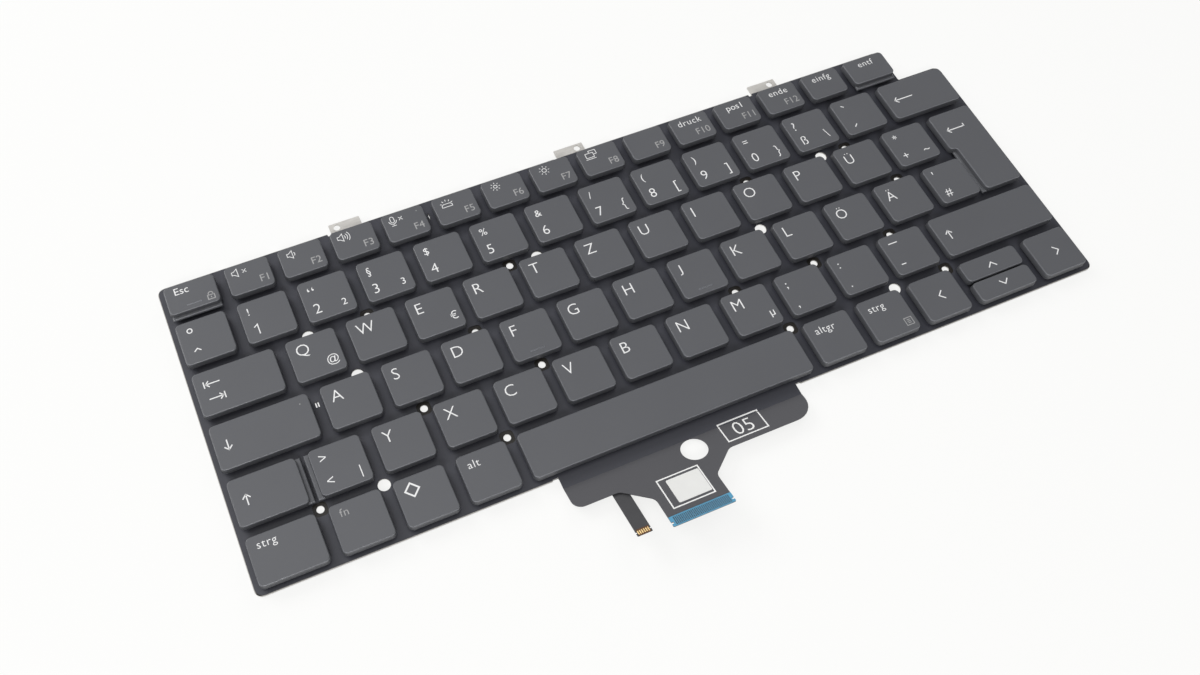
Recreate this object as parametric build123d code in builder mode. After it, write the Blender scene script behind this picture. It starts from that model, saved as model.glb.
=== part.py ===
from build123d import *
from math import atan, cos, degrees, radians, sin
import os

# Laptop replacement keyboard: eighty low keycaps on rubber domes, over a switch membrane, a perforated
# metal plate and a backlight sheet, with a film apron and two ribbon tails that bend up in front.
# Millimetres, +Z up, origin under the middle of the whole part's box.

# Key field: a unit is one key pitch, and the gap between keys comes off each key's width
key_pitch = 19.05
row_pitch = 18.05
key_gap = 3.85
row_gap = 3.55
field_units = 14.53
return_units = 13.5
return_inset = 2.3
arrow_gap = 0.9
function_pitch = 17.17
function_gap = 3.47
function_end_width = 15.6
function_count = 13
function_depth = 10.6
function_row_gap = 3.4

# Keycaps
cap_height = 2.15
cap_flare = 0.3
cap_corner = 1.1
edge_bevel = 0.3
skin = 0.9
lift = 1.55
ledge_reach = 1.3
front_ledge_reach = 1.0
front_ledge_setback = 0.6
ledge_drop = 1.5
bar_width = 4.8
bar_depth = 0.5
bar_height = 0.2
bar_inset = 1.8

# Rubber domes, one under each cap
dome_base_diameter = 5.2
dome_top_diameter = 3.0
dome_sides = 6
dome_clearance = 0.05

# Stacked sheets
backlight_thickness = 0.45
backlight_inset = 0.3
plate_thickness = 0.4
membrane_thickness = 0.25
left_margin = 2.15
right_margin = 3.4
back_margin = 2.75
front_margin = 1.35
deck_corner = 2.5

# Through holes, where three keys meet, and narrow slots beside two keys
screw_hole_diameter = 2.3
post_hole_diameter = 3.8
plain_hole_sides = 8
clearance_diameter = 4.6
clearance_sides = 6
slot_width = 0.4
slot_length = 2.1
slot_spacing = 0.75
slot_back = 3.0

# Bare tabs of the plate behind the function row
tab_width = 10.4
tab_reach = 3.1
tab_hole_diameter = 2.2
tab_hole_reach = 1.4
tab_hole_inset = 2.4
tab_relief_width = 1.3
tab_relief_depth = 1.0

# Film apron: flat out to its crease, then bent up, with a ribbon tail; reaches are along the film,
# and insets are from the apron's left edge, or from the tail's for the label
film_tilt = 19.0
crease_reach = 3.3
apron_inset = 87.65
apron_width = 78.5
apron_reach = 8.3
apron_left_corner = 3.2
apron_right_corner = 6.5
root_notch_width = 1.8
root_notch_depth = 0.5
apron_hole_diameter = 8.1
apron_hole_inset = 39.9
apron_hole_reach = 4.2
funnel_inset = 13.6
funnel_width = 35.5
funnel_corner = 3.0
funnel_reach = 15.2
tail_inset = 21.6
tail_width = 19.5
tail_reach = 25.9
stiffener_length = 3.3
stiffener_thickness = 0.2
ear_length = 1.2
ear_notch = 0.7
label_inset = 5.3
label_reach = 10.8
label_width = 10.4
label_depth = 8.6
label_thickness = 0.06

# Ribbon strip of the backlight, under the apron
strip_inset = 11.6
strip_width = 4.65
strip_reach = 24.1
strip_thickness = 0.15
strip_height = 0.15
strip_notch = 0.4

# Sizes that follow
cap_depth = row_pitch - row_gap
function_width = function_pitch - function_gap
field_width = field_units * key_pitch - key_gap
typing_depth = 4 * row_pitch + cap_depth
deck_width = left_margin + field_width + right_margin
deck_depth = back_margin + function_depth + function_row_gap + typing_depth + front_margin
tail_run = tail_reach * cos(radians(film_tilt))
part_depth = tab_reach + deck_depth + crease_reach + tail_run
deck_left = -deck_width / 2
deck_right = deck_width / 2
deck_back = part_depth / 2 - tab_reach
deck_front = deck_back - deck_depth
crease = deck_front - crease_reach
field_left = deck_left + left_margin
field_right = field_left + field_width
apron_left = field_left + apron_inset
function_middle = deck_back - back_margin - function_depth / 2
function_first = field_left + function_end_width + function_gap
function_last = function_first + function_count * function_pitch
function_right = function_last + function_end_width
number_back = deck_back - back_margin - function_depth - function_row_gap
membrane_bottom = backlight_thickness + plate_thickness
membrane_top = membrane_bottom + membrane_thickness
cap_bottom = membrane_top + lift
hollow_height = cap_height - skin
dome_height = lift + hollow_height - dome_clearance
flare_angle = degrees(atan(cap_flare / cap_height))
dome_angle = degrees(atan((dome_base_diameter - dome_top_diameter) / 2 / dome_height))

# Typing rows from the left, each key with its width in units; the return key stands apart
tab_row = {"tab": 1.5} | dict.fromkeys("q w e r t z u i o p u_umlaut plus".split(), 1.0)
home_row = {"caps_lock": 1.75} | dict.fromkeys("a s d f g h j k l o_umlaut a_umlaut".split(), 1.0)
home_row |= {"hash": 0.95}
shift_row = {"shift_left": 1.25} | dict.fromkeys("less_than y x c v b n m comma period minus".split(), 1.0)
shift_row |= {"shift_right": field_units - sum(shift_row.values())}
space_row = {"control_left": 1.25, "fn": 1.0, "system": 1.0, "alt": 1.0, "space": 5.0, "alt_gr": 1.0}
space_row |= {"control_right": 1.0, "arrow_left": 1.0}
space_row |= {"arrow_pair": field_units - sum(space_row.values()) - 1.0, "arrow_right": 1.0}
number_row = dict.fromkeys("caret 1 2 3 4 5 6 7 8 9 0 sharp_s accent".split(), 1.0)
number_row |= {"backspace": field_units - sum(number_row.values())}
ledges = {"shift_left": "right", "less_than": "left"}
homing_keys = ("f", "j")

# Holes by the row gap they stand in, counted from the back, with the unit lines they stand on
screw_lines = {1: (3, 12), 2: (4.5, 12.5), 3: (3.25, 10.25), 4: (1.25, 12.25)}
inner_screw_lines = {1: (5.5, 10), 3: (5.25, 8.75, 11.75), 4: (4.25, 9.25)}
post_lines = {1: (2, 6, 11.5), 2: (2.5, 9.75), 4: (2.25, 11.25)}
slot_unit = 1.75
slot_function_key = 4
tab_insets = (54.65, 134.05, 208.3)
tab_holes_from_left = (tab_hole_inset, tab_width - tab_hole_inset, tab_width - tab_hole_inset)


def unit_x(units):
    """The left edge of a key that starts this many units from the field's left edge."""
    return field_left + units * key_pitch


def row_y(row):
    """The middle of a row of keys, with the number row as row 0."""
    return number_back - cap_depth / 2 - row * row_pitch


def hole_places(lines):
    """The middle of each hole: on a unit line, in the gap behind the row it is listed under."""
    return [(unit_x(unit) - key_gap / 2, row_y(row) + row_pitch / 2) for row in lines for unit in lines[row]]


def row_keys(row_units, row):
    """Name, middle and plateau size of each key of a row."""
    start = 0
    keys = []
    for name, units in row_units.items():
        width = units * key_pitch - key_gap
        keys.append((name, unit_x(start) + width / 2, row_y(row), width, cap_depth))
        start += units
    return keys


def split_arrows(keys):
    """The same keys, with the arrow pair cut into an upper and a lower key."""
    depth = (cap_depth - arrow_gap) / 2
    shift = (depth + arrow_gap) / 2
    split = []
    for name, x, y, width, key_depth in keys:
        if name == "arrow_pair":
            split += [("arrow_up", x, y + shift, width, depth), ("arrow_down", x, y - shift, width, depth)]
        else:
            split.append((name, x, y, width, key_depth))
    return split


def make_cap(width, depth, ledge="", bar=False):
    """A hollow cap with its plateau centred on the Z axis, a step on one side, or a homing bar."""
    with BuildPart() as cap:
        with BuildSketch(Plane.XY.offset(cap_bottom)) as skirt:
            Rectangle(width + 2 * cap_flare, depth + 2 * cap_flare)
            chamfer(skirt.vertices(), cap_corner)
        extrude(amount=cap_height, taper=flare_angle)
        chamfer(cap.faces().sort_by(Axis.Z)[-1].edges(), edge_bevel)
        if ledge == "front":
            with BuildSketch(Plane.XY.offset(cap_bottom)):
                with Locations((0, -depth / 2 - cap_flare - front_ledge_reach)):
                    Rectangle(width, depth, align=(Align.CENTER, Align.MIN))
            extrude(amount=cap_height - ledge_drop)
        elif ledge:
            side = 1 if ledge == "right" else -1
            with BuildSketch(Plane.XY.offset(cap_bottom)):
                with Locations((side * (cap_flare + ledge_reach), 0)):
                    Rectangle(width, depth + cap_flare)
            extrude(amount=cap_height - ledge_drop)
        with BuildSketch(Plane.XY.offset(cap_bottom)):
            Rectangle(width + 2 * (cap_flare - skin), depth + 2 * (cap_flare - skin))
        extrude(amount=hollow_height, mode=Mode.SUBTRACT)
        if bar:
            with BuildSketch(Plane.XY.offset(cap_bottom + cap_height)):
                with Locations((0, bar_inset - depth / 2)):
                    Rectangle(bar_width, bar_depth)
            extrude(amount=bar_height)
    return cap.part


def make_return_cap():
    """The return key over two rows: a plateau stepped in on the lower left, with a ledge in the step."""
    left = unit_x(return_units)
    low_left = left + return_inset
    back = row_y(1) + cap_depth / 2
    front = row_y(2) - cap_depth / 2
    tall_width = field_right - low_left
    tall_depth = back - front
    wall = skin - cap_flare
    with BuildPart() as cap:
        with Locations(return_place):
            add(make_cap(tall_width, tall_depth))
        with Locations(((left + field_right) / 2, row_y(1))):
            add(make_cap(field_right - left, cap_depth))
        with BuildSketch(Plane.XY.offset(cap_bottom)):
            with Locations((low_left - ledge_reach, front - cap_flare / 2)):
                Rectangle(tall_width, row_pitch, align=(Align.MIN, Align.MIN))
        extrude(amount=cap_height - ledge_drop)
        with BuildSketch(Plane.XY.offset(cap_bottom)):
            with Locations(return_place):
                Rectangle(tall_width - 2 * wall, tall_depth - 2 * wall)
        extrude(amount=hollow_height, mode=Mode.SUBTRACT)
    return cap.part


def deck_face(inset=0):
    """The plan of the stacked sheets: a rectangle stepped in at the back right, with notches and slots."""
    step_x = function_right + left_margin - inset
    step_y = number_back + back_margin - inset
    back = deck_back - inset
    front = deck_front + inset
    with BuildSketch() as deck:
        with BuildLine():
            Polyline(
                (deck_left + inset, front),
                (deck_right - inset, front),
                (deck_right - inset, step_y),
                (step_x, step_y),
                (step_x, back),
                (deck_left + inset, back),
                close=True,
            )
        make_face()
        outer_corners = deck.vertices().sort_by_distance((step_x, step_y, 0))[1:]
        if inset:
            chamfer(outer_corners, deck_corner)
        else:
            fillet(outer_corners, deck_corner)
        with Locations(*[(field_left + tab - tab_relief_width / 2, deck_back) for tab in tab_insets]):
            Rectangle(tab_relief_width, 2 * tab_relief_depth, mode=Mode.SUBTRACT)
        left_root = apron_left - root_notch_width / 2
        right_root = left_root + apron_width + root_notch_width
        with Locations((left_root, deck_front), (right_root, deck_front)):
            Rectangle(root_notch_width, 2 * root_notch_depth, mode=Mode.SUBTRACT)
        slots_x = unit_x(slot_unit) - key_gap / 2
        slots_y = row_y(2) + cap_depth / 2 - slot_back
        function_slot_x = function_first + slot_function_key * function_pitch - function_gap / 2
        function_slot_y = function_middle + function_depth / 2 - slot_back
        with Locations(
            (slots_x - slot_spacing / 2, slots_y),
            (slots_x + slot_spacing / 2, slots_y),
            (function_slot_x, function_slot_y),
        ):
            Rectangle(slot_width, slot_length, mode=Mode.SUBTRACT)
    return deck.sketch


def film_plane(height):
    """The plane of a film bent up at the crease, hinged on its underside, from the apron's left edge."""
    tilt = radians(film_tilt)
    return Plane(origin=(apron_left, crease, height), x_dir=(1, 0, 0), z_dir=(0, sin(tilt), cos(tilt)))


def ear_places(left, width, reach):
    """The middles of the two notches that leave ears at the end of a ribbon."""
    return [(left, ear_length - reach), (left + width, ear_length - reach)]


# Keys: the function and number rows are fixed groups, and each key of the typing rows is its own piece
function_start = function_first + function_width / 2
function_places = [function_start + count * function_pitch for count in range(function_count)]
end_places = [field_left + function_end_width / 2, function_last + function_end_width / 2]
typing_keys = row_keys(tab_row, 1) + row_keys(home_row, 2) + row_keys(shift_row, 3)
typing_keys += split_arrows(row_keys(space_row, 4))
return_place = ((unit_x(return_units) + return_inset + field_right) / 2, (row_y(1) + row_y(2)) / 2)
dome_places = [(x, function_middle) for x in function_places + end_places]
dome_places += [(x, y) for name, x, y, width, depth in row_keys(number_row, 0) + typing_keys]
dome_places += [return_place]
rim_corners = [apron_left_corner, *2 * [funnel_corner], 0, 0, *2 * [funnel_corner], apron_right_corner]
all_holes = hole_places(screw_lines) + hole_places(inner_screw_lines) + hole_places(post_lines)

os.makedirs("parts", exist_ok=True)

with BuildPart() as base_plate:
    with BuildSketch(Plane.XY.offset(backlight_thickness)):
        add(deck_face())
        with Locations(*[(field_left + tab, deck_back) for tab in tab_insets]):
            Rectangle(tab_width, 2 * tab_reach, align=(Align.MIN, Align.CENTER))
        with Locations(*hole_places(screw_lines)):
            Circle(screw_hole_diameter / 2, mode=Mode.SUBTRACT)
        with Locations(*hole_places(post_lines)):
            RegularPolygon(post_hole_diameter / 2, plain_hole_sides, mode=Mode.SUBTRACT)
        with Locations(*hole_places(inner_screw_lines)):
            RegularPolygon(screw_hole_diameter / 2, plain_hole_sides, mode=Mode.SUBTRACT)
        for tab, hole in zip(tab_insets, tab_holes_from_left):
            with Locations((field_left + tab + hole, deck_back + tab_hole_reach)):
                Circle(tab_hole_diameter / 2, mode=Mode.SUBTRACT)
    extrude(amount=plate_thickness)
base_plate.part.label = "base_plate"
export_step(base_plate.part, "parts/base_plate.step")

with BuildPart() as membrane:
    with BuildSketch(Plane.XY.offset(membrane_bottom)):
        add(deck_face())
        with Locations((apron_left, crease)):
            Rectangle(apron_width, crease_reach + root_notch_depth, align=(Align.MIN, Align.MIN))
        with Locations(*all_holes):
            RegularPolygon(clearance_diameter / 2, clearance_sides, mode=Mode.SUBTRACT)
    extrude(amount=membrane_thickness)
    with BuildSketch(film_plane(membrane_bottom)):
        with BuildLine():
            rim = FilletPolyline(
                (0, 0),
                (0, -apron_reach),
                (funnel_inset, -apron_reach),
                (tail_inset, -funnel_reach),
                (tail_inset, -tail_reach),
                (tail_inset + tail_width, -tail_reach),
                (tail_inset + tail_width, -funnel_reach),
                (funnel_inset + funnel_width, -apron_reach),
                (apron_width, -apron_reach),
                (apron_width, 0),
                radius=rim_corners,
            )
            Line(rim @ 1, rim @ 0)
        make_face()
        with Locations((apron_hole_inset, -apron_hole_reach)):
            Circle(apron_hole_diameter / 2, mode=Mode.SUBTRACT)
        with Locations(*ear_places(tail_inset, tail_width, tail_reach)):
            Rectangle(2 * ear_notch, ear_notch, mode=Mode.SUBTRACT)
    extrude(amount=membrane_thickness)
membrane.part.label = "membrane"
export_step(membrane.part, "parts/membrane.step")

with BuildPart() as backlight:
    with BuildSketch():
        add(deck_face(backlight_inset))
        with Locations(*all_holes):
            RegularPolygon(clearance_diameter / 2, clearance_sides, mode=Mode.SUBTRACT)
    extrude(amount=backlight_thickness)
backlight.part.label = "backlight_sheet"
export_step(backlight.part, "parts/backlight_sheet.step")

with BuildPart() as strip:
    with BuildSketch(Plane.XY.offset(strip_height)):
        with Locations((apron_left + strip_inset, crease)):
            Rectangle(strip_width, crease_reach + backlight_inset, align=(Align.MIN, Align.MIN))
    extrude(amount=strip_thickness)
    with BuildSketch(film_plane(strip_height)):
        with Locations((strip_inset, -strip_reach)):
            Rectangle(strip_width, strip_reach, align=(Align.MIN, Align.MIN))
        with Locations(*ear_places(strip_inset, strip_width, strip_reach)):
            Rectangle(2 * strip_notch, strip_notch, mode=Mode.SUBTRACT)
    extrude(amount=strip_thickness)
strip.part.label = "backlight_tail"
export_step(strip.part, "parts/backlight_tail.step")

with BuildPart() as stiffener:
    with BuildSketch(film_plane(membrane_bottom).offset(membrane_thickness)):
        with Locations((tail_inset, -tail_reach)):
            Rectangle(tail_width, stiffener_length, align=(Align.MIN, Align.MIN))
        with Locations(*ear_places(tail_inset, tail_width, tail_reach)):
            Rectangle(2 * ear_notch, ear_notch, mode=Mode.SUBTRACT)
    extrude(amount=stiffener_thickness)
stiffener.part.label = "tail_stiffener"
export_step(stiffener.part, "parts/tail_stiffener.step")

with BuildPart() as label:
    with BuildSketch(film_plane(membrane_bottom).offset(membrane_thickness)):
        with Locations((tail_inset + label_inset, -label_reach - label_depth)):
            Rectangle(label_width, label_depth, align=(Align.MIN, Align.MIN))
    extrude(amount=label_thickness)
label.part.label = "blank_label"
export_step(label.part, "parts/blank_label.step")

with BuildPart() as function_row:
    for x in function_places:
        cap = make_cap(function_width, function_depth)
        with Locations((x, function_middle)):
            add(cap)
    for x in end_places:
        cap = make_cap(function_end_width, function_depth - front_ledge_setback, "front", x == end_places[0])
        with Locations((x, function_middle + front_ledge_setback / 2)):
            add(cap)
function_row.part.label = "function_row_keys"
export_step(function_row.part, "parts/function_row_keys.step")

with BuildPart() as fixed_number_row:
    for name, x, y, width, depth in row_keys(number_row, 0):
        cap = make_cap(width, depth)
        with Locations((x, y)):
            add(cap)
fixed_number_row.part.label = "number_row_keys"
export_step(fixed_number_row.part, "parts/number_row_keys.step")

for name, x, y, width, depth in typing_keys:
    cap = make_cap(width, depth, ledges.get(name, ""), name in homing_keys)
    with BuildPart() as key:
        with Locations((x, y)):
            add(cap)
    key.part.label = f"key_{name}"
    export_step(key.part, f"parts/key_{name}.step")

return_cap = make_return_cap()
with BuildPart() as return_key:
    add(return_cap)
return_key.part.label = "key_return"
export_step(return_key.part, "parts/key_return.step")

with BuildPart() as domes:
    with BuildSketch(Plane.XY.offset(membrane_top)):
        with Locations(*dome_places):
            RegularPolygon(dome_base_diameter / 2, dome_sides)
    extrude(amount=dome_height, taper=dome_angle)
domes.part.label = "rubber_domes"
export_step(domes.part, "parts/rubber_domes.step")
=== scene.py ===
import math

import bmesh
import bpy
from mathutils import Matrix, Vector


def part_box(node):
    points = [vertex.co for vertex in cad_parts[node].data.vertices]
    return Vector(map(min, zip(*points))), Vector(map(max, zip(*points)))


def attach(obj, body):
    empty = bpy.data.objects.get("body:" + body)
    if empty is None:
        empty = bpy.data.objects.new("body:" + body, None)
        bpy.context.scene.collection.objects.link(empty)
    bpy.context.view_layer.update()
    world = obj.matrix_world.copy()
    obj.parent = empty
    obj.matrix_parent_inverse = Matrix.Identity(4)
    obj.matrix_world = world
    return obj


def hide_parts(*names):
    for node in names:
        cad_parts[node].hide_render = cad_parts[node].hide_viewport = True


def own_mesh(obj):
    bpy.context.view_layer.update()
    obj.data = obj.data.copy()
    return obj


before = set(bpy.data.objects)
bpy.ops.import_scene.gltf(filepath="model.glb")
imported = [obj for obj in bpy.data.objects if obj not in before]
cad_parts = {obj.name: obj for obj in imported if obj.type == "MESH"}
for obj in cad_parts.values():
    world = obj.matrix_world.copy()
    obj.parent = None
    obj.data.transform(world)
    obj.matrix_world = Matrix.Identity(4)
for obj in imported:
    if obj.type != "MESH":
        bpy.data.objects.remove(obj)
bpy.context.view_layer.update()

# Sizes here are millimetres unless a name says otherwise, and meshes are built in metres.
MM = 0.001

bl_info = {
    "name": "Laptop Keyboard",
    "version": (1, 0, 0),
    "blender": (4, 5, 0),
    "location": "View3D > Sidebar > Keyboard",
    "description": "Dresses a packed laptop keyboard: caps, legends, domes, links, films, plate and stage",
    "category": "Object",
}


def node_box(node):
    """Lowest and highest corner of a CAD node, in millimetres."""
    low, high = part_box(node)
    return Vector(low) / MM, Vector(high) / MM


# Where the sheets lie, from the CAD nodes
TAB_REACH = 3.1
PLATE_LOW, PLATE_HIGH = node_box("base_plate")
FUNCTION_HIGH = node_box("function_row_keys")[1]
NUMBER_LOW, NUMBER_HIGH = node_box("number_row_keys")
CAP_FLARE = 0.3
LEFT_MARGIN = 2.15
BACK_MARGIN = 2.75
DECK_LEFT = PLATE_LOW.x
DECK_RIGHT = PLATE_HIGH.x
DECK_FRONT = PLATE_LOW.y
DECK_BACK = PLATE_HIGH.y - TAB_REACH
STEP_X = FUNCTION_HIGH.x - CAP_FLARE + LEFT_MARGIN
STEP_Y = NUMBER_HIGH.y - CAP_FLARE + BACK_MARGIN
FIELD_LEFT = DECK_LEFT + LEFT_MARGIN
PLATE_BOTTOM = PLATE_LOW.z
FILM_BOTTOM = PLATE_HIGH.z
FILM_THICK = 0.25
FILM_TOP = FILM_BOTTOM + FILM_THICK
CAP_BOTTOM = NUMBER_LOW.z
CAP_TOP = NUMBER_HIGH.z
DECK_CORNER = 2.5
STEP_CORNER = 0.4
RIM_SHOW = 0.25
BARE_MARGIN = 0.5

# Key lattice for the holes between the keys, with holes listed by row gap and unit line; a notch or relief is
# its width and depth
KEY_PITCH = 19.05
ROW_PITCH = 18.05
KEY_GAP = 3.85
ROW_GAP = 3.55
FUNCTION_PITCH = 17.17
FUNCTION_GAP = 3.47
ESCAPE_WIDTH = 15.6
SCREW_LINES = {
    1: (3, 5.5, 10, 12), 2: (4.5, 12.5), 3: (3.25, 5.25, 8.75, 10.25, 11.75), 4: (1.25, 4.25, 9.25, 12.25),
}
POST_LINES = {1: (2, 6, 11.5), 2: (2.5, 9.75), 4: (2.25, 11.25)}
SCREW_HOLE = 2.3
SCREW_WINDOW = 4.3
WINDOW_CORNER = 1.3
POST_HOLE = 3.8
POST_CLEARANCE = 0.1
BACKLIGHT_HOLE = 4.5
BACKLIGHT_INSET = 0.3
SLOT_WIDTH = 0.4
SLOT_LENGTH = 2.1
SLOT_SPACING = 0.75
SLOT_CORNER = 0.18
SLOT_DROP = 3.0
SLOT_ROW = 2
SLOT_UNIT = 1.75
SLOT_FUNCTION_KEY = 4
TAB_WIDTH = 10.4
TAB_CORNER = 0.3
TAB_INSETS = (54.65, 134.05, 208.3)
TAB_HOLES = (2.4, 8.0, 8.0)
TAB_HOLE = 2.2
TAB_HOLE_REACH = 1.4
TAB_RELIEF = (1.3, 1.0)

# Film apron in front of the deck, bent up beyond its crease; reaches run along the film, and the hole is its
# place and diameter
FILM_TILT = math.radians(19.0)
CREASE_REACH = 3.3
CREASE = DECK_FRONT - CREASE_REACH
CREASE_HALF = 0.14
APRON_LEFT = 87.65
APRON_RIGHT = 166.15
APRON_REACH = 8.3
APRON_LEFT_CORNER = 3.2
APRON_RIGHT_CORNER = 6.5
APRON_HOLE = (127.55, -4.2, 8.1)
ROOT_NOTCH = (1.8, 0.5)
FUNNEL_LEFT = 101.25
FUNNEL_RIGHT = 136.75
FUNNEL_REACH = 15.2
FUNNEL_CORNER = 3.0
TAIL_LEFT = 109.25
TAIL_RIGHT = 128.75
TAIL_REACH = 25.9
TAIL_CORNER = 0.3
EAR_LENGTH = 1.2
EAR_NOTCH = 0.7
EAR_CORNER = 0.2

# Stiffener and label on the tail; boxes are left, front, right and back
STIFFENER_LENGTH = 3.3
STIFFENER_THICK = 0.2
STIFFENER_CORNER = 0.15
CONTACT_COUNT = 32
CONTACT_MARGIN = 1.3
CONTACT_HALF = 0.14
CONTACT_ENDS = (0.15, 0.3)
CONTACT_CORNER = 0.06
CONTACT_RISE = 0.02
CONTACT_SLOPE = 0.02
LABEL_BOX = (114.55, -19.4, 124.95, -10.8)
LABEL_CORNER = 0.4
LABEL_THICK = 0.06

# Backlight's ribbon with its contact fingers
STRIP_LEFT = 99.25
STRIP_RIGHT = 103.9
STRIP_REACH = 24.1
STRIP_BOTTOM = 0.15
STRIP_THICK = 0.15
STRIP_CORNER = 0.2
STRIP_NOTCH = 0.4
STRIP_NOTCH_CORNER = 0.1
FINGER_COUNT = 6
FINGER_MARGIN = 0.75
FINGER_PITCH = 0.63
FINGER_BOX = (-0.19, 0.45, 0.19, 1.85)
FINGER_CORNER = 0.1
FINGER_RISE = 0.025
PAD_MARGIN = 0.42
PAD_ENDS = (0.04, 2.25)
PAD_THICK = 0.01
PAD_CORNER = 0.1

# White print on the film
PRINT_LINE = 0.42
PRINT_LIFT = 0.008
LABEL_FRAME = (112.25, -20.4, 125.3, -9.8)
NUMBER_FRAME = (137.75, -6.4, 150.95, 0.6)
NUMBER_BASE = -5.4
NUMBER_HEIGHT = 4.8

# What all the colours in the sidebar share
COLOUR = {"subtype": "COLOR", "min": 0, "max": 1}


class KeyboardLook(bpy.types.PropertyGroup):
    """Finishes and small sizes that a user would change."""

    cap_colour: bpy.props.FloatVectorProperty(
        name="Cap", description="Colour of the keycaps", default=(0.108, 0.111, 0.121), **COLOUR)
    film_colour: bpy.props.FloatVectorProperty(
        name="Film", description="Colour of the switch film", default=(0.094, 0.094, 0.102), **COLOUR)
    # Painted shade: the film over the deck takes this darker colour for the shade between the caps and under
    # the space bar; it is not a printed mask
    deck_shade_colour: bpy.props.FloatVectorProperty(
        name="Mask", description="Colour of the mask printed on the film's deck",
        default=(0.05, 0.0515, 0.064), **COLOUR)
    stiffener_colour: bpy.props.FloatVectorProperty(
        name="Stiffener", description="Colour of the tail's stiffener", default=(0.1, 0.34, 0.53), **COLOUR)
    legend_colour: bpy.props.FloatVectorProperty(
        name="Legend", description="Colour of the bright legends", default=(0.86, 0.86, 0.86), **COLOUR)
    dim_legend_colour: bpy.props.FloatVectorProperty(
        name="Dim legend", description="Colour of the second legends", default=(0.38, 0.38, 0.38), **COLOUR)
    top_round: bpy.props.FloatProperty(
        name="Top rounding", description="Radius round a cap's top edge, in millimetres",
        default=0.3, min=0.1, max=0.8)
    cap_corner: bpy.props.FloatProperty(
        name="Cap corner", description="Radius of a cap's corners in plan, in millimetres",
        default=1.7, min=0.3, max=3)
    legend_thinning: bpy.props.FloatProperty(
        name="Legend thinning", description="Share of the type size by which a legend's outline is drawn in",
        subtype="FACTOR", default=0.011, min=0, max=0.03)


# Meshes

def new_piece(name, bm, materials):
    """A mesh object at the origin from a bmesh, with its materials."""
    mesh = bpy.data.meshes.new(name)
    bm.to_mesh(mesh)
    bm.free()
    for material in materials:
        mesh.materials.append(material)
    piece = bpy.data.objects.new(name, mesh)
    bpy.context.collection.objects.link(piece)
    return piece


def plain_mesh(thing):
    """The evaluated mesh of an object, which is then removed."""
    bpy.context.view_layer.update()
    depsgraph = bpy.context.evaluated_depsgraph_get()
    mesh = bpy.data.meshes.new_from_object(thing.evaluated_get(depsgraph))
    data = thing.data
    bpy.data.objects.remove(thing)
    if isinstance(data, bpy.types.Curve):
        bpy.data.curves.remove(data)
    else:
        bpy.data.meshes.remove(data)
    return mesh


def join_mesh(bm, mesh, material, place=None):
    """Adds a mesh to a bmesh with one material index, moved by a matrix; the mesh is removed."""
    if place is not None:
        mesh.transform(place)
    start = len(bm.faces)
    bm.from_mesh(mesh)
    bm.faces.ensure_lookup_table()
    for face in bm.faces[start:]:
        face.material_index = material
    bpy.data.meshes.remove(mesh)


LEAST_RADIUS = 0.12


def corner_path(corners, inset=0.0, steps=5):
    """A closed path through (x, y, radius) corners listed counter-clockwise, moved inwards by inset."""
    path = []
    for index, (x, y, radius) in enumerate(corners):
        point = Vector((x, y))
        before = (point - Vector(corners[index - 1][:2])).normalized()
        after = (Vector(corners[(index + 1) % len(corners)][:2]) - point).normalized()
        inward = Vector((-before.y, before.x))
        onward = Vector((-after.y, after.x))
        point = point + (inward + onward) * (inset / (1 + inward.dot(onward)))
        if radius == 0:
            path.append(point)
            continue
        side = 1 if before.x * after.y - before.y * after.x > 0 else -1
        round_radius = max(radius - side * inset, LEAST_RADIUS)
        angle = math.acos(max(-1, min(1, before.dot(after))))
        start = point - before * (round_radius * math.tan(angle / 2))
        centre = start + inward * (side * round_radius)
        for step in range(steps + 1):
            turn = Matrix.Rotation(side * angle * step / steps, 2)
            path.append(centre + turn @ (start - centre))
    return path


def box_corners(left, front, right, back, radius):
    """A rectangle's corners for corner_path."""
    return [(left, front, radius), (right, front, radius), (right, back, radius), (left, back, radius)]


def ring_path(x, y, diameter, steps=28):
    """A round path."""
    turns = [2 * math.pi * step / steps for step in range(steps)]
    return [Vector((x + diameter / 2 * math.cos(turn), y + diameter / 2 * math.sin(turn))) for turn in turns]


def add_ring(bm, path, height):
    """The vertices of a path at a height."""
    return [bm.verts.new((point.x * MM, point.y * MM, height * MM)) for point in path]


def add_face(bm, verts, material=0, smooth=True):
    """One face with its material."""
    face = bm.faces.new(verts)
    face.material_index = material
    face.smooth = smooth
    return face


def bridge(bm, lower, upper, material=0, smooth=True):
    """A band of faces between two rings of equal length."""
    for index in range(len(lower)):
        onward = (index + 1) % len(lower)
        add_face(bm, (lower[index], lower[onward], upper[onward], upper[index]), material, smooth)


def skin(bm, rings, material=0, smooth=True):
    """Faces over a stack of rings, closed at both ends."""
    for lower, upper in zip(rings, rings[1:]):
        bridge(bm, lower, upper, material, smooth)
    add_face(bm, rings[0][::-1], material, False)
    add_face(bm, rings[-1], material, False)


def lathe(bm, profile, steps):
    """A turned shape round the Z axis, closed at both ends, from (radius, height) listed upwards."""
    skin(bm, [add_ring(bm, ring_path(0, 0, 2 * radius, steps), height) for radius, height in profile])


def tube(bm, points, radius, sides=8):
    """A round wire along points, with its ends closed."""
    points = [Vector(point) for point in points]
    turns = [2 * math.pi * step / sides for step in range(sides)]
    rings = []
    side = Vector((0, 0, 1))
    for index, point in enumerate(points):
        before = points[index] - points[max(index - 1, 0)]
        after = points[min(index + 1, len(points) - 1)] - points[index]
        along = (before.normalized() + after.normalized()).normalized()
        side = (side - along * side.dot(along)).normalized()
        other = along.cross(side)
        spots = [point + (side * math.cos(turn) + other * math.sin(turn)) * radius for turn in turns]
        rings.append([bm.verts.new(spot * MM) for spot in spots])
    skin(bm, rings)


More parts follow.
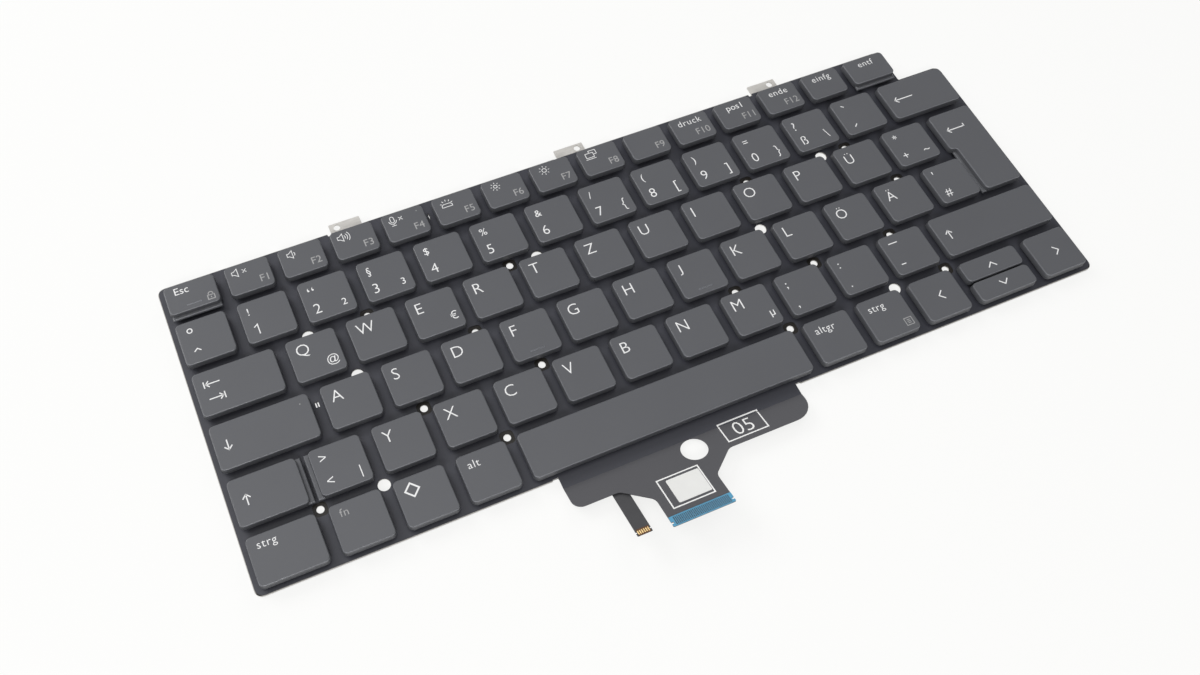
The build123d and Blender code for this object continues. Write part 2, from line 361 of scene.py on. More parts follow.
def cut_sheet(paths, low, high):
    """A flat sheet between two heights: the first path is its rim and the others are its holes."""
    curve = bpy.data.curves.new("sheet", "CURVE")
    curve.dimensions = "2D"
    curve.fill_mode = "BOTH"
    curve.extrude = (high - low) / 2 * MM
    for path in paths:
        spline = curve.splines.new("POLY")
        spline.points.add(len(path) - 1)
        for point, place in zip(spline.points, path):
            point.co = (place.x * MM, place.y * MM, 0, 1)
        spline.use_cyclic_u = True
    thing = bpy.data.objects.new("sheet", curve)
    bpy.context.collection.objects.link(thing)
    mesh = plain_mesh(thing)
    mesh.transform(Matrix.Translation((0, 0, (low + high) / 2 * MM)))
    mesh.polygons.foreach_set("use_smooth", [False] * len(mesh.polygons))
    return mesh


def solid_boxes(node):
    """Lowest and highest corner of each solid of a CAD node, from left to right, in millimetres."""
    bm = bmesh.new()
    bm.from_mesh(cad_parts[node].data)
    bm.transform(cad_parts[node].matrix_world)
    bmesh.ops.remove_doubles(bm, verts=bm.verts, dist=1e-6)
    boxes = []
    unseen = set(bm.verts)
    while unseen:
        edge = [unseen.pop()]
        solid = []
        while edge:
            vert = edge.pop()
            solid.append(vert.co / MM)
            linked = {link.other_vert(vert) for link in vert.link_edges} & unseen
            unseen -= linked
            edge.extend(linked)
        low = Vector([min(place[axis] for place in solid) for axis in range(3)])
        high = Vector([max(place[axis] for place in solid) for axis in range(3)])
        boxes.append((low, high))
    bm.free()
    return sorted(boxes, key=lambda box: box[0].x)


# Legends

CAPITAL_SHARE = 0.682
LEGEND_LIFT = 0.006
STROKE = 0.36
WORD_SPACING = 1.1
WORD_THINNED = 0.4
LEGEND = 1
DIM = 2
# Material index of the homing bars' coat, whose paler colour is a painted highlight
BAR_HIGHLIGHT = 3
type_cache = {}


def is_word(text):
    """Whether a legend is a word in small letters, which is set wider and thinner than a sign."""
    return len(text) > 1 and text.islower() and text.isalpha()


def type_shape(text, thinning):
    """Points, faces and width of a line of type with capitals 1 high, from its base line's left end."""
    if (text, thinning) not in type_cache:
        font = bpy.data.curves.new("type", "FONT")
        font.body = text
        font.size = 1 / CAPITAL_SHARE
        font.offset = -thinning / CAPITAL_SHARE
        font.resolution_u = 3
        if is_word(text):
            font.space_character = WORD_SPACING
        thing = bpy.data.objects.new("type", font)
        bpy.context.collection.objects.link(thing)
        mesh = plain_mesh(thing)
        points = [vert.co.xy for vert in mesh.vertices]
        left = min(point.x for point in points)
        low = min(point.y for point in points) if text == "J" else 0
        points = [Vector((point.x - left, (point.y - low) / (1 - low))) for point in points]
        faces = [tuple(polygon.vertices) for polygon in mesh.polygons]
        bpy.data.meshes.remove(mesh)
        type_cache[text, thinning] = (points, faces, max(point.x for point in points))
    return type_cache[text, thinning]


def add_type(bm, text, x, y, height, material, look, share=0.0):
    """Type on a cap's top, its base line at y; share 0 puts its left end at x, 0.5 its middle, 1 its end."""
    share_thinned = max(0, min(1, (height - SMALL) / (LETTER - SMALL)))
    if is_word(text):
        share_thinned = max(share_thinned, WORD_THINNED)
    points, faces, width = type_shape(text, look.legend_thinning * share_thinned)
    verts = []
    for point in points:
        place = (x + (point.x - share * width) * height, y + point.y * height, CAP_TOP + LEGEND_LIFT)
        verts.append(bm.verts.new(Vector(place) * MM))
    for face in faces:
        made = add_face(bm, [verts[index] for index in face], material, False)
        made.normal_update()
        if made.normal.z < 0:
            made.normal_flip()


def add_stroke(bm, points, material, width=STROKE, height=CAP_TOP + LEGEND_LIFT, closed=False, place=None):
    """A flat line of even width through points on a surface."""
    points = [Vector(point) for point in points]
    count = len(points)
    sides = []
    for index, point in enumerate(points):
        before = point - points[index - 1] if index or closed else None
        after = points[(index + 1) % count] - point if index < count - 1 or closed else None
        before = (before or after).normalized()
        after = (after or before).normalized()
        across = Vector((-before.y, before.x)) + Vector((-after.y, after.x))
        across *= width / max(across.length_squared, 1e-6)
        ends = []
        for spot in (point + across, point - across):
            spot = Vector((spot.x, spot.y, height))
            ends.append(bm.verts.new((place @ spot if place else spot) * MM))
        sides.append(ends)
    for index in range(count if closed else count - 1):
        left, right = sides[index]
        next_left, next_right = sides[(index + 1) % count]
        add_face(bm, (right, next_right, next_left, left), material, False)


def arc_points(x, y, radius, start, end, steps=8):
    """Points along an arc, angles in degrees."""
    turns = [math.radians(start + (end - start) * step / steps) for step in range(steps + 1)]
    return [(x + radius * math.cos(turn), y + radius * math.sin(turn)) for turn in turns]


def arrow_lines(length, head):
    """An arrow pointing left, from its tip at the left end."""
    return [[(0, 0), (length, 0)], [(head, head), (0, 0), (head, -head)]]


def turned(lines, degrees):
    """The same lines turned about their origin."""
    turn = Matrix.Rotation(math.radians(degrees), 2)
    return [[tuple(turn @ Vector(point)) for point in line] for line in lines]


def shifted(lines, x, y):
    """The same lines moved."""
    return [[(point[0] + x, point[1] + y) for point in line] for line in lines]


def speaker_lines(waves):
    """A loudspeaker with sound waves, or a cross for none."""
    lines = [[(0, -0.55), (0.6, -0.55), (1.75, -1.45), (1.75, 1.45), (0.6, 0.55), (0, 0.55), (0, -0.55)]]
    for wave in range(waves):
        lines.append(arc_points(1.6, 0, 0.9 + 0.75 * wave, -42, 42))
    return lines if waves else lines + cross_lines(3.9, 0, 0.6)


def cross_lines(x, y, reach):
    """A small cross."""
    rising = [(x - reach, y - reach), (x + reach, y + reach)]
    falling = [(x - reach, y + reach), (x + reach, y - reach)]
    return [rising, falling]


def microphone_lines():
    """A crossed-out microphone."""
    body = arc_points(1.5, 0.95, 0.6, 0, 180) + arc_points(1.5, -0.1, 0.6, 180, 360)
    foot = [[(1.5, -1.25), (1.5, -1.95)], [(0.75, -1.95), (2.25, -1.95)]]
    lines = [body + body[:1], arc_points(1.5, 0, 1.25, 180, 360)] + foot
    return lines + cross_lines(4.2, 0.1, 0.6)


def glow_lines():
    """A lit keyboard: a low housing under rays."""
    lines = [[(0.7, -1.5), (4.1, -1.5), (4.1, -0.8), (3.5, -0.3), (1.3, -0.3), (0.7, -0.8), (0.7, -1.5)]]
    for degrees in (25, 57, 90, 123, 155):
        ray = Vector((math.cos(math.radians(degrees)), math.sin(math.radians(degrees))))
        lines.append([tuple(Vector((2.4, -0.9)) + ray * 1.6), tuple(Vector((2.4, -0.9)) + ray * 2.3)])
    return lines


def sun_lines(radius, reach):
    """A sun with eight rays."""
    disc = arc_points(0, 0, radius, 0, 360, 14)
    rays = [turned([[(reach, 0), (reach + 0.5, 0)]], 45 * count)[0] for count in range(8)]
    return [disc] + rays


def screen_lines():
    """Two screens, one behind the other."""
    back = [(1.9, 1.0), (1.9, 1.7), (4.3, 1.7), (4.3, 0.0), (3.4, 0.0)]
    front = [(0.4, -1.0), (0.4, 0.8), (3.2, 0.8), (3.2, -1.0), (0.4, -1.0)]
    return [back, front, [(0, -1.6), (3.6, -1.6)]]


def lock_lines():
    """A padlock."""
    body = [(0, 0), (2.1, 0), (2.1, 1.5), (0, 1.5), (0, 0)]
    bow = [(0.35, 1.5)] + arc_points(1.05, 1.9, 0.7, 180, 0) + [(1.75, 1.5)]
    return [body, bow, [(1.05, 0.5), (1.05, 1.0)]]


def menu_lines():
    """A small page with lines."""
    page = [(0, 0), (2.5, 0), (2.5, 2.5), (0, 2.5), (0, 0)]
    return [page] + [[(0.7, level), (1.8, level)] for level in (0.7, 1.25, 1.8)]


# Heights of the type
LETTER = 3.75
UMLAUT = 3.5
DIGIT = 3.45
SMALL_DIGIT = 2.3
SIGN = 2.5
PAIR_SIGN = 2.9
CORNER_SIGN = 2.7
WORD = 2.35
ESCAPE_WORD = 2.45
SMALL = 2.5
DOT = 2.2

# Widths of the lines
SIGN_STROKE = 0.34
FINE_STROKE = 0.24
ICON_STROKE = 0.22
LOCK_STROKE = 0.3
DIAMOND_STROKE = 0.5

# Distances of the type from a cap's left or right edge, and of its base line from the back edge
LETTER_LEFT = 2.4
LETTER_DEPTH = 6.1
UMLAUT_DEPTH = 6.75
SIGN_LEFT = 2.5
UPPER_DEPTH = 4.9
LOWER_DEPTH = 12.2
DIGIT_DEPTH = 12.1
WORD_LEFT = 2.6
WORD_DEPTH = 3.8
CORNER_RIGHT = 1.5
CORNER_DEPTH = 11.6
PAIR_RIGHT = 2.6
DIGIT_RIGHT = 2.5
FUNCTION_RIGHT = 1.4
FUNCTION_DEPTH = 8.7
ICON_DEPTH = 2.85

# Signs that are set larger than the others
LARGE_SIGNS = {"“": 4.4, "'": 3.4, "?": 3.4}

# Type on the number row: left top, left bottom and right bottom of each cap
NUMBER_SIGNS = (
    ("°", "^", ""), ("!", "1", ""), ("“", "2", "2"), ("§", "3", "3"), ("$", "4", ""), ("%", "5", ""),
    ("&", "6", ""), ("/", "7", "{"), ("(", "8", "["), (")", "9", "]"), ("=", "0", "}"), ("?", "ß", "\\"),
    ("`", "´", ""),
)
# Words and icons on the function row, by place; an icon goes with its distance from the cap's left edge
LAST_NUMBERED = 12
FUNCTION_WORDS = {10: "druck", 11: "pos1", 12: "ende", 13: "einfg", 14: "entf"}
FUNCTION_ICONS = {
    1: (speaker_lines(0), 2.0), 2: (speaker_lines(1), 2.6), 3: (speaker_lines(3), 2.0),
    4: (microphone_lines(), 1.7), 5: (glow_lines(), 2.0), 6: (sun_lines(0.6, 1.15), 4.4),
    7: (sun_lines(0.75, 1.3), 4.6), 8: (screen_lines(), 2.1),
}
# Second signs of letter keys, and keys with a pair of signs
CORNER_SIGNS = {"q": "@", "e": "€", "m": "µ"}
UMLAUTS = {"u_umlaut": "Ü", "o_umlaut": "Ö", "a_umlaut": "Ä"}
PAIR_SIGNS = {
    "plus": ("*", "+", "~"), "hash": ("'", "#", ""), "less_than": (">", "<", "|"), "comma": (";", ",", ""),
    "period": (":", ".", ""), "minus": ("_", "-", ""),
}
# Words on the front row, each with the depth of its base line from the back edge
WORDS = {
    "control_left": ("strg", 4.0), "fn": ("fn", 4.1), "alt": ("alt", 4.6), "alt_gr": ("altgr", 4.8),
    "control_right": ("strg", 4.6),
}
CHEVRON_TURNS = {"arrow_left": 0, "arrow_down": 90, "arrow_right": 180, "arrow_up": 270}


def add_lines(bm, lines, x, y, material=LEGEND, width=STROKE):
    """Icon lines on a cap's top, moved to x and y."""
    for line in shifted(lines, x, y):
        closed = len(line) > 2 and (Vector(line[0]) - Vector(line[-1])).length < 1e-3
        add_stroke(bm, line[:-1] if closed else line, material, width, closed=closed)


# Signs drawn with lines, in parts of the type's height from their left end on the base line
LINE_SIGNS = {
    "1": [[(0.12, 0.76), (0.46, 1.0), (0.46, 0.0)]],
    "°": [arc_points(0.5, 0.66, 0.3, 0, 360, 14)],
    "^": [[(0.22, 0.4), (0.52, 0.66), (0.82, 0.4)]],
    "`": [[(0.3, 1.0), (0.66, 0.72)]],
    "´": [[(0.3, 0.05), (0.62, 0.36)]],
    "_": [[(0.0, 0.66), (1.1, 0.66)]],
    "-": [[(0.0, 0.4), (0.58, 0.4)]],
    "*": [[(0.45, 1.0), (0.45, 0.42)], [(0.2, 0.855), (0.7, 0.565)], [(0.2, 0.565), (0.7, 0.855)]],
}


def add_sign(bm, sign, x, y, height, look):
    """A sign on a cap's top, from its left end on the base line: drawn with lines, or else as type."""
    if sign in LINE_SIGNS:
        lines = [[(point[0] * height, point[1] * height) for point in line] for line in LINE_SIGNS[sign]]
        add_lines(bm, lines, x, y, width=FINE_STROKE if sign == "*" else SIGN_STROKE)
    else:
        large = LARGE_SIGNS.get(sign, height)
        add_type(bm, sign, x, y + height - large, large, LEGEND, look)


def typing_legend(bm, name, left, right, back, middle, look):
    """One typing key's legend, from its plateau's left, right and back edges and the middle of its depth."""
    if len(name) == 1:
        add_type(bm, name.upper(), left + LETTER_LEFT, back - LETTER_DEPTH, LETTER, LEGEND, look)
    if name in CORNER_SIGNS:
        sign = CORNER_SIGNS[name]
        add_type(bm, sign, right - CORNER_RIGHT, back - CORNER_DEPTH, CORNER_SIGN, LEGEND, look, 1.0)
    if name in UMLAUTS:
        add_type(bm, UMLAUTS[name], left + LETTER_LEFT, back - UMLAUT_DEPTH, UMLAUT, LEGEND, look)
    if name in PAIR_SIGNS:
        upper, lower, corner = PAIR_SIGNS[name]
        add_sign(bm, upper, left + SIGN_LEFT, back - UPPER_DEPTH, PAIR_SIGN, look)
        add_sign(bm, lower, left + SIGN_LEFT, back - LOWER_DEPTH, PAIR_SIGN, look)
        if corner:
            add_type(bm, corner, right - PAIR_RIGHT, back - LOWER_DEPTH, PAIR_SIGN, LEGEND, look, 1.0)
    if name in WORDS:
        word, depth = WORDS[name]
        add_type(bm, word, left + WORD_LEFT, back - depth, WORD, DIM if name == "fn" else LEGEND, look)
    if name in CHEVRON_TURNS:
        shift = 1.1 if name == "arrow_right" else 0
        chevron = turned([[(1.2, 1.5), (-0.4, 0), (1.2, -1.5)]], CHEVRON_TURNS[name])
        add_lines(bm, chevron, (left + right) / 2 + shift, middle)
    if name == "tab":
        arrow = arrow_lines(4.2, 1.0)
        add_lines(bm, arrow + [[(-0.5, 1.1), (-0.5, -1.1)]], left + 3.2, back - 4.5)
        add_lines(bm, turned(arrow, 180) + [[(0.5, 1.1), (0.5, -1.1)]], left + 7.2, back - 9.5)
    if name == "caps_lock":
        add_lines(bm, turned(arrow_lines(3.3, 1.15), 90), left + 3.85, back - 8.8)
        add_type(bm, ".", right - 3.0, back - 3.0, DOT, DIM, look)
    if name in ("shift_left", "shift_right"):
        add_lines(bm, turned(arrow_lines(3.3, 1.15), -90), left + 4.1, back - 5.6)
    if name == "return":
        add_lines(bm, arrow_lines(6.6, 1.1) + [[(6.6, -STROKE / 2), (6.6, 1.1)]], left + 3.2, back - 7.3)
    if name == "system":
        diamond = [(0, -2.1), (2.1, 0), (0, 2.1), (-2.1, 0), (0, -2.1)]
        add_lines(bm, [diamond], left + 4.6, back - 4.1, width=DIAMOND_STROKE)
    if name == "control_right":
        add_lines(bm, menu_lines(), right - 3.9, back - 12.6, DIM, FINE_STROKE)


def function_legend(bm, place, left, right, back, look):
    """The legend of one function key, by its place from the left."""
    if place in FUNCTION_ICONS:
        lines, inset = FUNCTION_ICONS[place]
        add_lines(bm, lines, left + inset, back - ICON_DEPTH, width=ICON_STROKE)
    if place == 0:
        add_type(bm, "Esc", left + 3.0, back - 3.7, ESCAPE_WORD, LEGEND, look)
        add_lines(bm, lock_lines(), right - 3.5, back - 8.8, DIM, LOCK_STROKE)
    elif place <= LAST_NUMBERED:
        add_type(bm, f"F{place}", right - FUNCTION_RIGHT, back - FUNCTION_DEPTH, SMALL, DIM, look, 1.0)
    if place == 4:
        add_type(bm, ".", right - 2.3, back - 2.1, DOT, DIM, look)
    if place in FUNCTION_WORDS:
        add_type(bm, FUNCTION_WORDS[place], (left + right) / 2, back - WORD_DEPTH, WORD, LEGEND, look, 0.5)


def number_legend(bm, place, left, right, back, look):
    """The legend of one number key, by its place from the left; the last one is the long arrow."""
    if place == len(NUMBER_SIGNS):
        add_lines(bm, arrow_lines(7.0, 1.15), left + 3.1, back - 7.3)
        return
    upper, lower, corner = NUMBER_SIGNS[place]
    add_sign(bm, upper, left + SIGN_LEFT, back - UPPER_DEPTH, SIGN, look)
    add_sign(bm, lower, left + SIGN_LEFT, back - DIGIT_DEPTH, DIGIT, look)
    if corner:
        height = SMALL_DIGIT if corner in "23" else DIGIT
        add_type(bm, corner, right - DIGIT_RIGHT, back - DIGIT_DEPTH, height, LEGEND, look, 1.0)


# Caps

LEDGE_REACH = 1.3
LEDGE_OVERLAP = 1.5
LEDGE_DROP = 1.5
LEDGE_END = CAP_FLARE / 2
LEDGE_CORNER = 0.25
LEDGE_ROOF = 0.5
LEDGES = {"shift_left": "right", "less_than": "left"}
FRONT_LEDGE_REACH = 1.0
LEDGED_DEPTH = 11.4
RETURN_INSET = 2.3
RETURN_STEP_CORNER = 0.6
RETURN_LEDGE_OVERLAP = (1.2, 0.6)
BAR_WIDTH = 4.8
BAR_DEPTH = 0.5
BAR_CORNER = 0.22
BAR_INSET = 1.8
WALL_LEAN = 0.22
ROUND_STEPS = 5

# Rings (inset, height) of a cap's hollow, its rim and a bar on its top
HOLLOW = [(1.0, CAP_TOP - 0.9), (0.85, CAP_TOP - 1.0), (0.75, CAP_BOTTOM)]
CAP_RIM = [(0.07, CAP_BOTTOM), (0.0, CAP_BOTTOM + 0.08)]
BAR_RINGS = [(0, CAP_TOP - 0.02), (0.08, CAP_TOP + 0.1), (0.17, CAP_TOP + 0.17)]


def add_cap(bm, corners, look, top=CAP_TOP):
    """One hollow cap: rings from the ceiling of its hollow, round the rim and up to its rounded top."""
    rings = [(inset, min(height, top - LEDGE_ROOF)) for inset, height in HOLLOW] + CAP_RIM
    radius = look.top_round
    for step in range(ROUND_STEPS + 1):
        turn = math.pi / 2 * step / ROUND_STEPS
        rings.append((WALL_LEAN + radius * (1 - math.cos(turn)), top - radius + radius * math.sin(turn)))
    skin(bm, [add_ring(bm, corner_path(corners, inset), height) for inset, height in rings])


def add_bar(bm, x, y, width):
    """A raised bar that a finger finds."""
    corners = box_corners(x - width / 2, y - BAR_DEPTH / 2, x + width / 2, y + BAR_DEPTH / 2, BAR_CORNER)
    # The bar's faces take the coat with the painted highlight
    skin(bm, [add_ring(bm, corner_path(corners, inset), height) for inset, height in BAR_RINGS], BAR_HIGHLIGHT, False)


def key_rectangle(name):
    """A typing key's base rectangle without its ledge: left, front, right, back."""
    low, high = node_box("key_" + name)
    left, front, right, back = low.x, low.y, high.x, high.y
    if LEDGES.get(name) == "right":
        right -= LEDGE_REACH
    if LEDGES.get(name) == "left":
        left += LEDGE_REACH
    return left, front, right, back


def return_corners(radius):
    """The return key's base outline over two rows, stepped in on the lower left."""
    left, front, right, back = key_rectangle("return")
    low_left = left + RETURN_INSET
    step = back - (ROW_PITCH - ROW_GAP) - 2 * CAP_FLARE
    return [(low_left, front, radius), (right, front, radius), (right, back, radius), (left, back, radius),
            (left, step, radius), (low_left, step, RETURN_STEP_CORNER)]


def typing_cap(name, look):
    """A typing key's cap with its ledge, bar and legend."""
    bm = bmesh.new()
    left, front, right, back = key_rectangle(name)
    corners = box_corners(left, front, right, back, look.cap_corner)
    ledge_top = CAP_TOP - LEDGE_DROP
    if name == "return":
        corners = return_corners(look.cap_corner)
        low_left, step = left + RETURN_INSET, corners[5][1]
        ledge_left = low_left + CAP_FLARE - LEDGE_REACH
        over_x, over_y = RETURN_LEDGE_OVERLAP
        ledge = box_corners(ledge_left, front + LEDGE_END, low_left + over_x, step + over_y, LEDGE_CORNER)
        add_cap(bm, ledge, look, ledge_top)
    add_cap(bm, corners, look)
    if name in LEDGES:
        ledge_left, ledge_right = left - LEDGE_REACH, left + LEDGE_OVERLAP
        if LEDGES[name] == "right":
            ledge_left, ledge_right = right - LEDGE_OVERLAP, right + LEDGE_REACH
        ledge = box_corners(ledge_left, front + LEDGE_END, ledge_right, back - LEDGE_END, LEDGE_CORNER)
        add_cap(bm, ledge, look, ledge_top)
    if name in ("f", "j"):
        add_bar(bm, (left + right) / 2, front + CAP_FLARE + BAR_INSET, BAR_WIDTH)
    middle = (front + back) / 2
    typing_legend(bm, name, left + CAP_FLARE, right - CAP_FLARE, back - CAP_FLARE, middle, look)
    return bm


def cap_materials(look):
    """Materials of a cap: body, legend, dim legend and the homing bar's coat with its painted highlight."""
    return [keycap_finish(look), legend_finish(look), dim_legend_finish(look), bar_highlight_finish(look)]


# Domes, links and wires under the caps

DOME_PROFILE = [
    (2.75, 0), (2.8, 0.1), (2.5, 0.25), (2.3, 0.6), (2.0, 1.2), (1.62, 1.75), (1.5, 2.2), (1.5, 2.62),
    (1.38, 2.72),
]
DOME_SIDES = 18
LINK_WIDTH = 10.6
LINK_DEPTH = 8.6
FUNCTION_LINK_WIDTH = 10.0
FUNCTION_LINK_DEPTH = 7.4
SHORT_LINK_DEPTH = 5.0
LINK_BAR = 0.9
LINK_THICK = 0.55
LINK_CORNER = 0.7
LINK_RISE = 1.75
LINK_MIDDLE = 1.38
LINK_NEST = 2.3
PIN_INSET = 1.3
PIN_REACH = 0.15
PIN_RADIUS = 0.32
WIRE_RADIUS = 0.35
WIRE_FOOT = 2.2
WIRE_FRONT = -2.6
WIRE_BACK = 2.4
WIRE_LOW = 0.45
WIRE_HIGH = 2.2
WIRE_SHORTER = 6
WIRED_WIDTH = 23
HALF_KEY_DEPTH = 12
FUNCTION_DOME_DEPTH = 5.6


def typing_names():
    """The typing keys' names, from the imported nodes."""
    return sorted(name.removeprefix("key_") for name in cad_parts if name.startswith("key_"))


def key_middle(name):
    """The middle of a typing key, where its dome stands."""
    left, front, right, back = key_rectangle(name)
    if name == "return":
        left += RETURN_INSET
    return (left + right) / 2, (front + back) / 2


def dome_part():
    """One rubber dome, standing on the origin."""
    bm = bmesh.new()
    lathe(bm, DOME_PROFILE, DOME_SIDES)
    return bm


def link_ring(bm, width, depth, tilt):
    """A flat frame with an open middle, tilted about the X axis."""
    corners = box_corners(-width / 2, -depth / 2, width / 2, depth / 2, LINK_CORNER)
    half = LINK_THICK / 2
    section = ((LINK_BAR, half), (LINK_BAR, -half), (0, -half), (0, half))
    rings = [add_ring(bm, corner_path(corners, inset, 3), height) for inset, height in section]
    for lower, upper in zip(rings, rings[1:] + rings[:1]):
        bridge(bm, lower, upper, smooth=False)
    place = Matrix.Translation((0, 0, LINK_MIDDLE * MM)) @ Matrix.Rotation(tilt, 4, "X")
    bmesh.ops.transform(bm, matrix=place, verts=[vert for ring in rings for vert in ring])


def links_part(width, depth):
    """A pair of folding links, crossed, standing on the origin."""
    bm = bmesh.new()
    tilt = math.atan(LINK_RISE / depth)
    link_ring(bm, width, depth, tilt)
    link_ring(bm, width - LINK_NEST, depth, -tilt)
    for side in (-1, 1):
        inner, outer = side * (width / 2 - PIN_INSET), side * (width / 2 + PIN_REACH)
        tube(bm, [(inner, 0, LINK_MIDDLE), (outer, 0, LINK_MIDDLE)], PIN_RADIUS)
    return bm


def wire_part(length, along_y=False):
    """A stabiliser wire: a long bar under the cap with bent legs down to the plate."""
    half = length / 2
    foot = [(WIRE_FOOT - half, WIRE_FRONT, WIRE_LOW), (-half, WIRE_FRONT, WIRE_LOW)]
    left_leg = foot + [(-half, WIRE_BACK, WIRE_HIGH)]
    points = left_leg + [(-x, y, z) for x, y, z in reversed(left_leg)]
    if along_y:
        points = [(-y, x, z) for x, y, z in points]
    bm = bmesh.new()
    tube(bm, points, WIRE_RADIUS)
    return bm


def raised_strip(box, corner, rise):
    """A thin strip with sloping sides that stands on a surface and is open below."""
    bm = bmesh.new()
    corners = box_corners(*box, corner)
    lower = add_ring(bm, corner_path(corners, 0, 2), 0)
    upper = add_ring(bm, corner_path(corners, CONTACT_SLOPE, 2), rise)
    bridge(bm, lower, upper)
    add_face(bm, upper)
    return bm


def link_nodes(tree, *links):
    """Links nodes, each link given as a node, its output, another node and its input."""
    for source, output, target, entry in links:
        tree.links.new(source.outputs[output], target.inputs[entry])


def instance_tree(name):
    """A tree that puts one part on every point of a mesh, realised, in one finish."""
    tree = bpy.data.node_groups.get(name)
    if tree:
        return tree
    tree = bpy.data.node_groups.new(name, "GeometryNodeTree")
    tree.is_modifier = True
    tree.interface.new_socket("Points", in_out="INPUT", socket_type="NodeSocketGeometry")
    tree.interface.new_socket("Part", in_out="INPUT", socket_type="NodeSocketObject")
    tree.interface.new_socket("Finish", in_out="INPUT", socket_type="NodeSocketMaterial")
    tree.interface.new_socket("Parts", in_out="OUTPUT", socket_type="NodeSocketGeometry")
    given = tree.nodes.new("NodeGroupInput")
    part = tree.nodes.new("GeometryNodeObjectInfo")
    place = tree.nodes.new("GeometryNodeInstanceOnPoints")
    realise = tree.nodes.new("GeometryNodeRealizeInstances")
    finish = tree.nodes.new("GeometryNodeSetMaterial")
    result = tree.nodes.new("NodeGroupOutput")
    link_nodes(
        tree,
        (given, "Part", part, "Object"),
        (given, "Points", place, "Points"),
        (part, "Geometry", place, "Instance"),
        (place, "Instances", realise, "Geometry"),
        (realise, "Geometry", finish, "Geometry"),
        (given, "Finish", finish, "Material"),
        (finish, "Geometry", result, "Parts"),
    )
    return tree


def set_input(modifier, name, value):
    """Sets a modifier's input by its socket's identifier."""
    for socket in modifier.node_group.interface.items_tree:
        if socket.item_type == "SOCKET" and socket.in_out == "INPUT" and socket.name == name:
            modifier[socket.identifier] = value
            return
    raise KeyError(name)


def repeat(shape, points, finish):
    """A plain mesh of one shape, given as a bmesh, on all the points, in millimetres."""
    part = new_piece("part", shape, [finish])
    mesh = bpy.data.meshes.new("points")
    mesh.from_pydata([Vector(point) * MM for point in points], [], [])
    host = bpy.data.objects.new("points", mesh)
    bpy.context.collection.objects.link(host)
    modifier = host.modifiers.new("Repeat", "NODES")
    modifier.node_group = instance_tree("Repeat a part")
    set_input(modifier, "Part", part)
    set_input(modifier, "Finish", finish)
    repeated = plain_mesh(host)
    part_mesh = part.data
    bpy.data.objects.remove(part)
    bpy.data.meshes.remove(part_mesh)
    return repeated


def repeated_works(points, width, depth, wire=0.0, wire_along_y=False):
    """Domes, links and wires on some points, as one bmesh of three materials."""
    bm = bmesh.new()
    parts = [
        (dome_part(), plain_finish("Dome rubber")),
        (links_part(width, depth), plain_finish("Link plastic")),
    ]
    if wire:
        parts.append((wire_part(wire, wire_along_y), plain_finish("Spring wire")))
    for index, (shape, finish) in enumerate(parts):
        join_mesh(bm, repeat(shape, points, finish), index)
    return bm


# Outlines of the sheets

def hole_places(lines):
    """The middles of the holes listed by row gap and unit line."""
    back_row = (NUMBER_LOW.y + NUMBER_HIGH.y) / 2
    places = []
    for row, units in lines.items():
        y = back_row + ROW_PITCH * (0.5 - row)
        places += [(FIELD_LEFT + unit * KEY_PITCH - KEY_GAP / 2, y) for unit in units]
    return places


def slot_paths():
    """The narrow slots beside two keys."""
    back_row = (NUMBER_LOW.y + NUMBER_HIGH.y) / 2
    first_x = FIELD_LEFT + SLOT_UNIT * KEY_PITCH - KEY_GAP / 2
    first_y = back_row - SLOT_ROW * ROW_PITCH + (ROW_PITCH - ROW_GAP) / 2 - SLOT_DROP
    function_x = FIELD_LEFT + ESCAPE_WIDTH + SLOT_FUNCTION_KEY * FUNCTION_PITCH + FUNCTION_GAP / 2
    function_y = DECK_BACK - BACK_MARGIN - SLOT_DROP
    half_width, half_length = SLOT_WIDTH / 2, SLOT_LENGTH / 2
    left_x, right_x = first_x - SLOT_SPACING / 2, first_x + SLOT_SPACING / 2
    paths = []
    for x, y in ((left_x, first_y), (right_x, first_y), (function_x, function_y)):
        corners = box_corners(x - half_width, y - half_length, x + half_width, y + half_length, SLOT_CORNER)
        paths.append(corner_path(corners, 0, 3))
    return paths


def deck_corners(tabs=False, apron=False, inset=0.0):
    """The rim of a sheet, counter-clockwise from the front left."""
    notch_width, notch_depth = ROOT_NOTCH
    relief_width, relief_depth = TAB_RELIEF
    left, right = FIELD_LEFT + APRON_LEFT, FIELD_LEFT + APRON_RIGHT
    front, back = DECK_FRONT + inset, DECK_BACK - inset
    root = DECK_FRONT + notch_depth
    edge = CREASE + CREASE_HALF if apron else front
    corners = [(DECK_LEFT + inset, front, DECK_CORNER)]
    corners += [(left - notch_width, front, 0), (left - notch_width, root, 0)]
    corners += [(left, root, 0), (left, edge, 0), (right, edge, 0), (right, root, 0)]
    corners += [(right + notch_width, root, 0), (right + notch_width, front, 0)]
    corners += [(DECK_RIGHT - inset, front, DECK_CORNER), (DECK_RIGHT - inset, STEP_Y - inset, DECK_CORNER)]
    corners += [(STEP_X - inset, STEP_Y - inset, STEP_CORNER), (STEP_X - inset, back, DECK_CORNER)]
    for tab in reversed(TAB_INSETS):
        tab_left = FIELD_LEFT + tab
        relief_left = tab_left - relief_width
        relief_front = DECK_BACK - relief_depth
        if tabs:
            tab_right, tab_back = tab_left + TAB_WIDTH, back + TAB_REACH
            corners += [(tab_right, back, 0), (tab_right, tab_back, TAB_CORNER)]
            corners += [(tab_left, tab_back, TAB_CORNER)]
        else:
            corners += [(tab_left, back, 0)]
        corners += [(tab_left, relief_front, TAB_CORNER), (relief_left, relief_front, TAB_CORNER)]
        corners += [(relief_left, back, 0)]
    corners += [(DECK_LEFT + inset, back, DECK_CORNER)]
    return corners


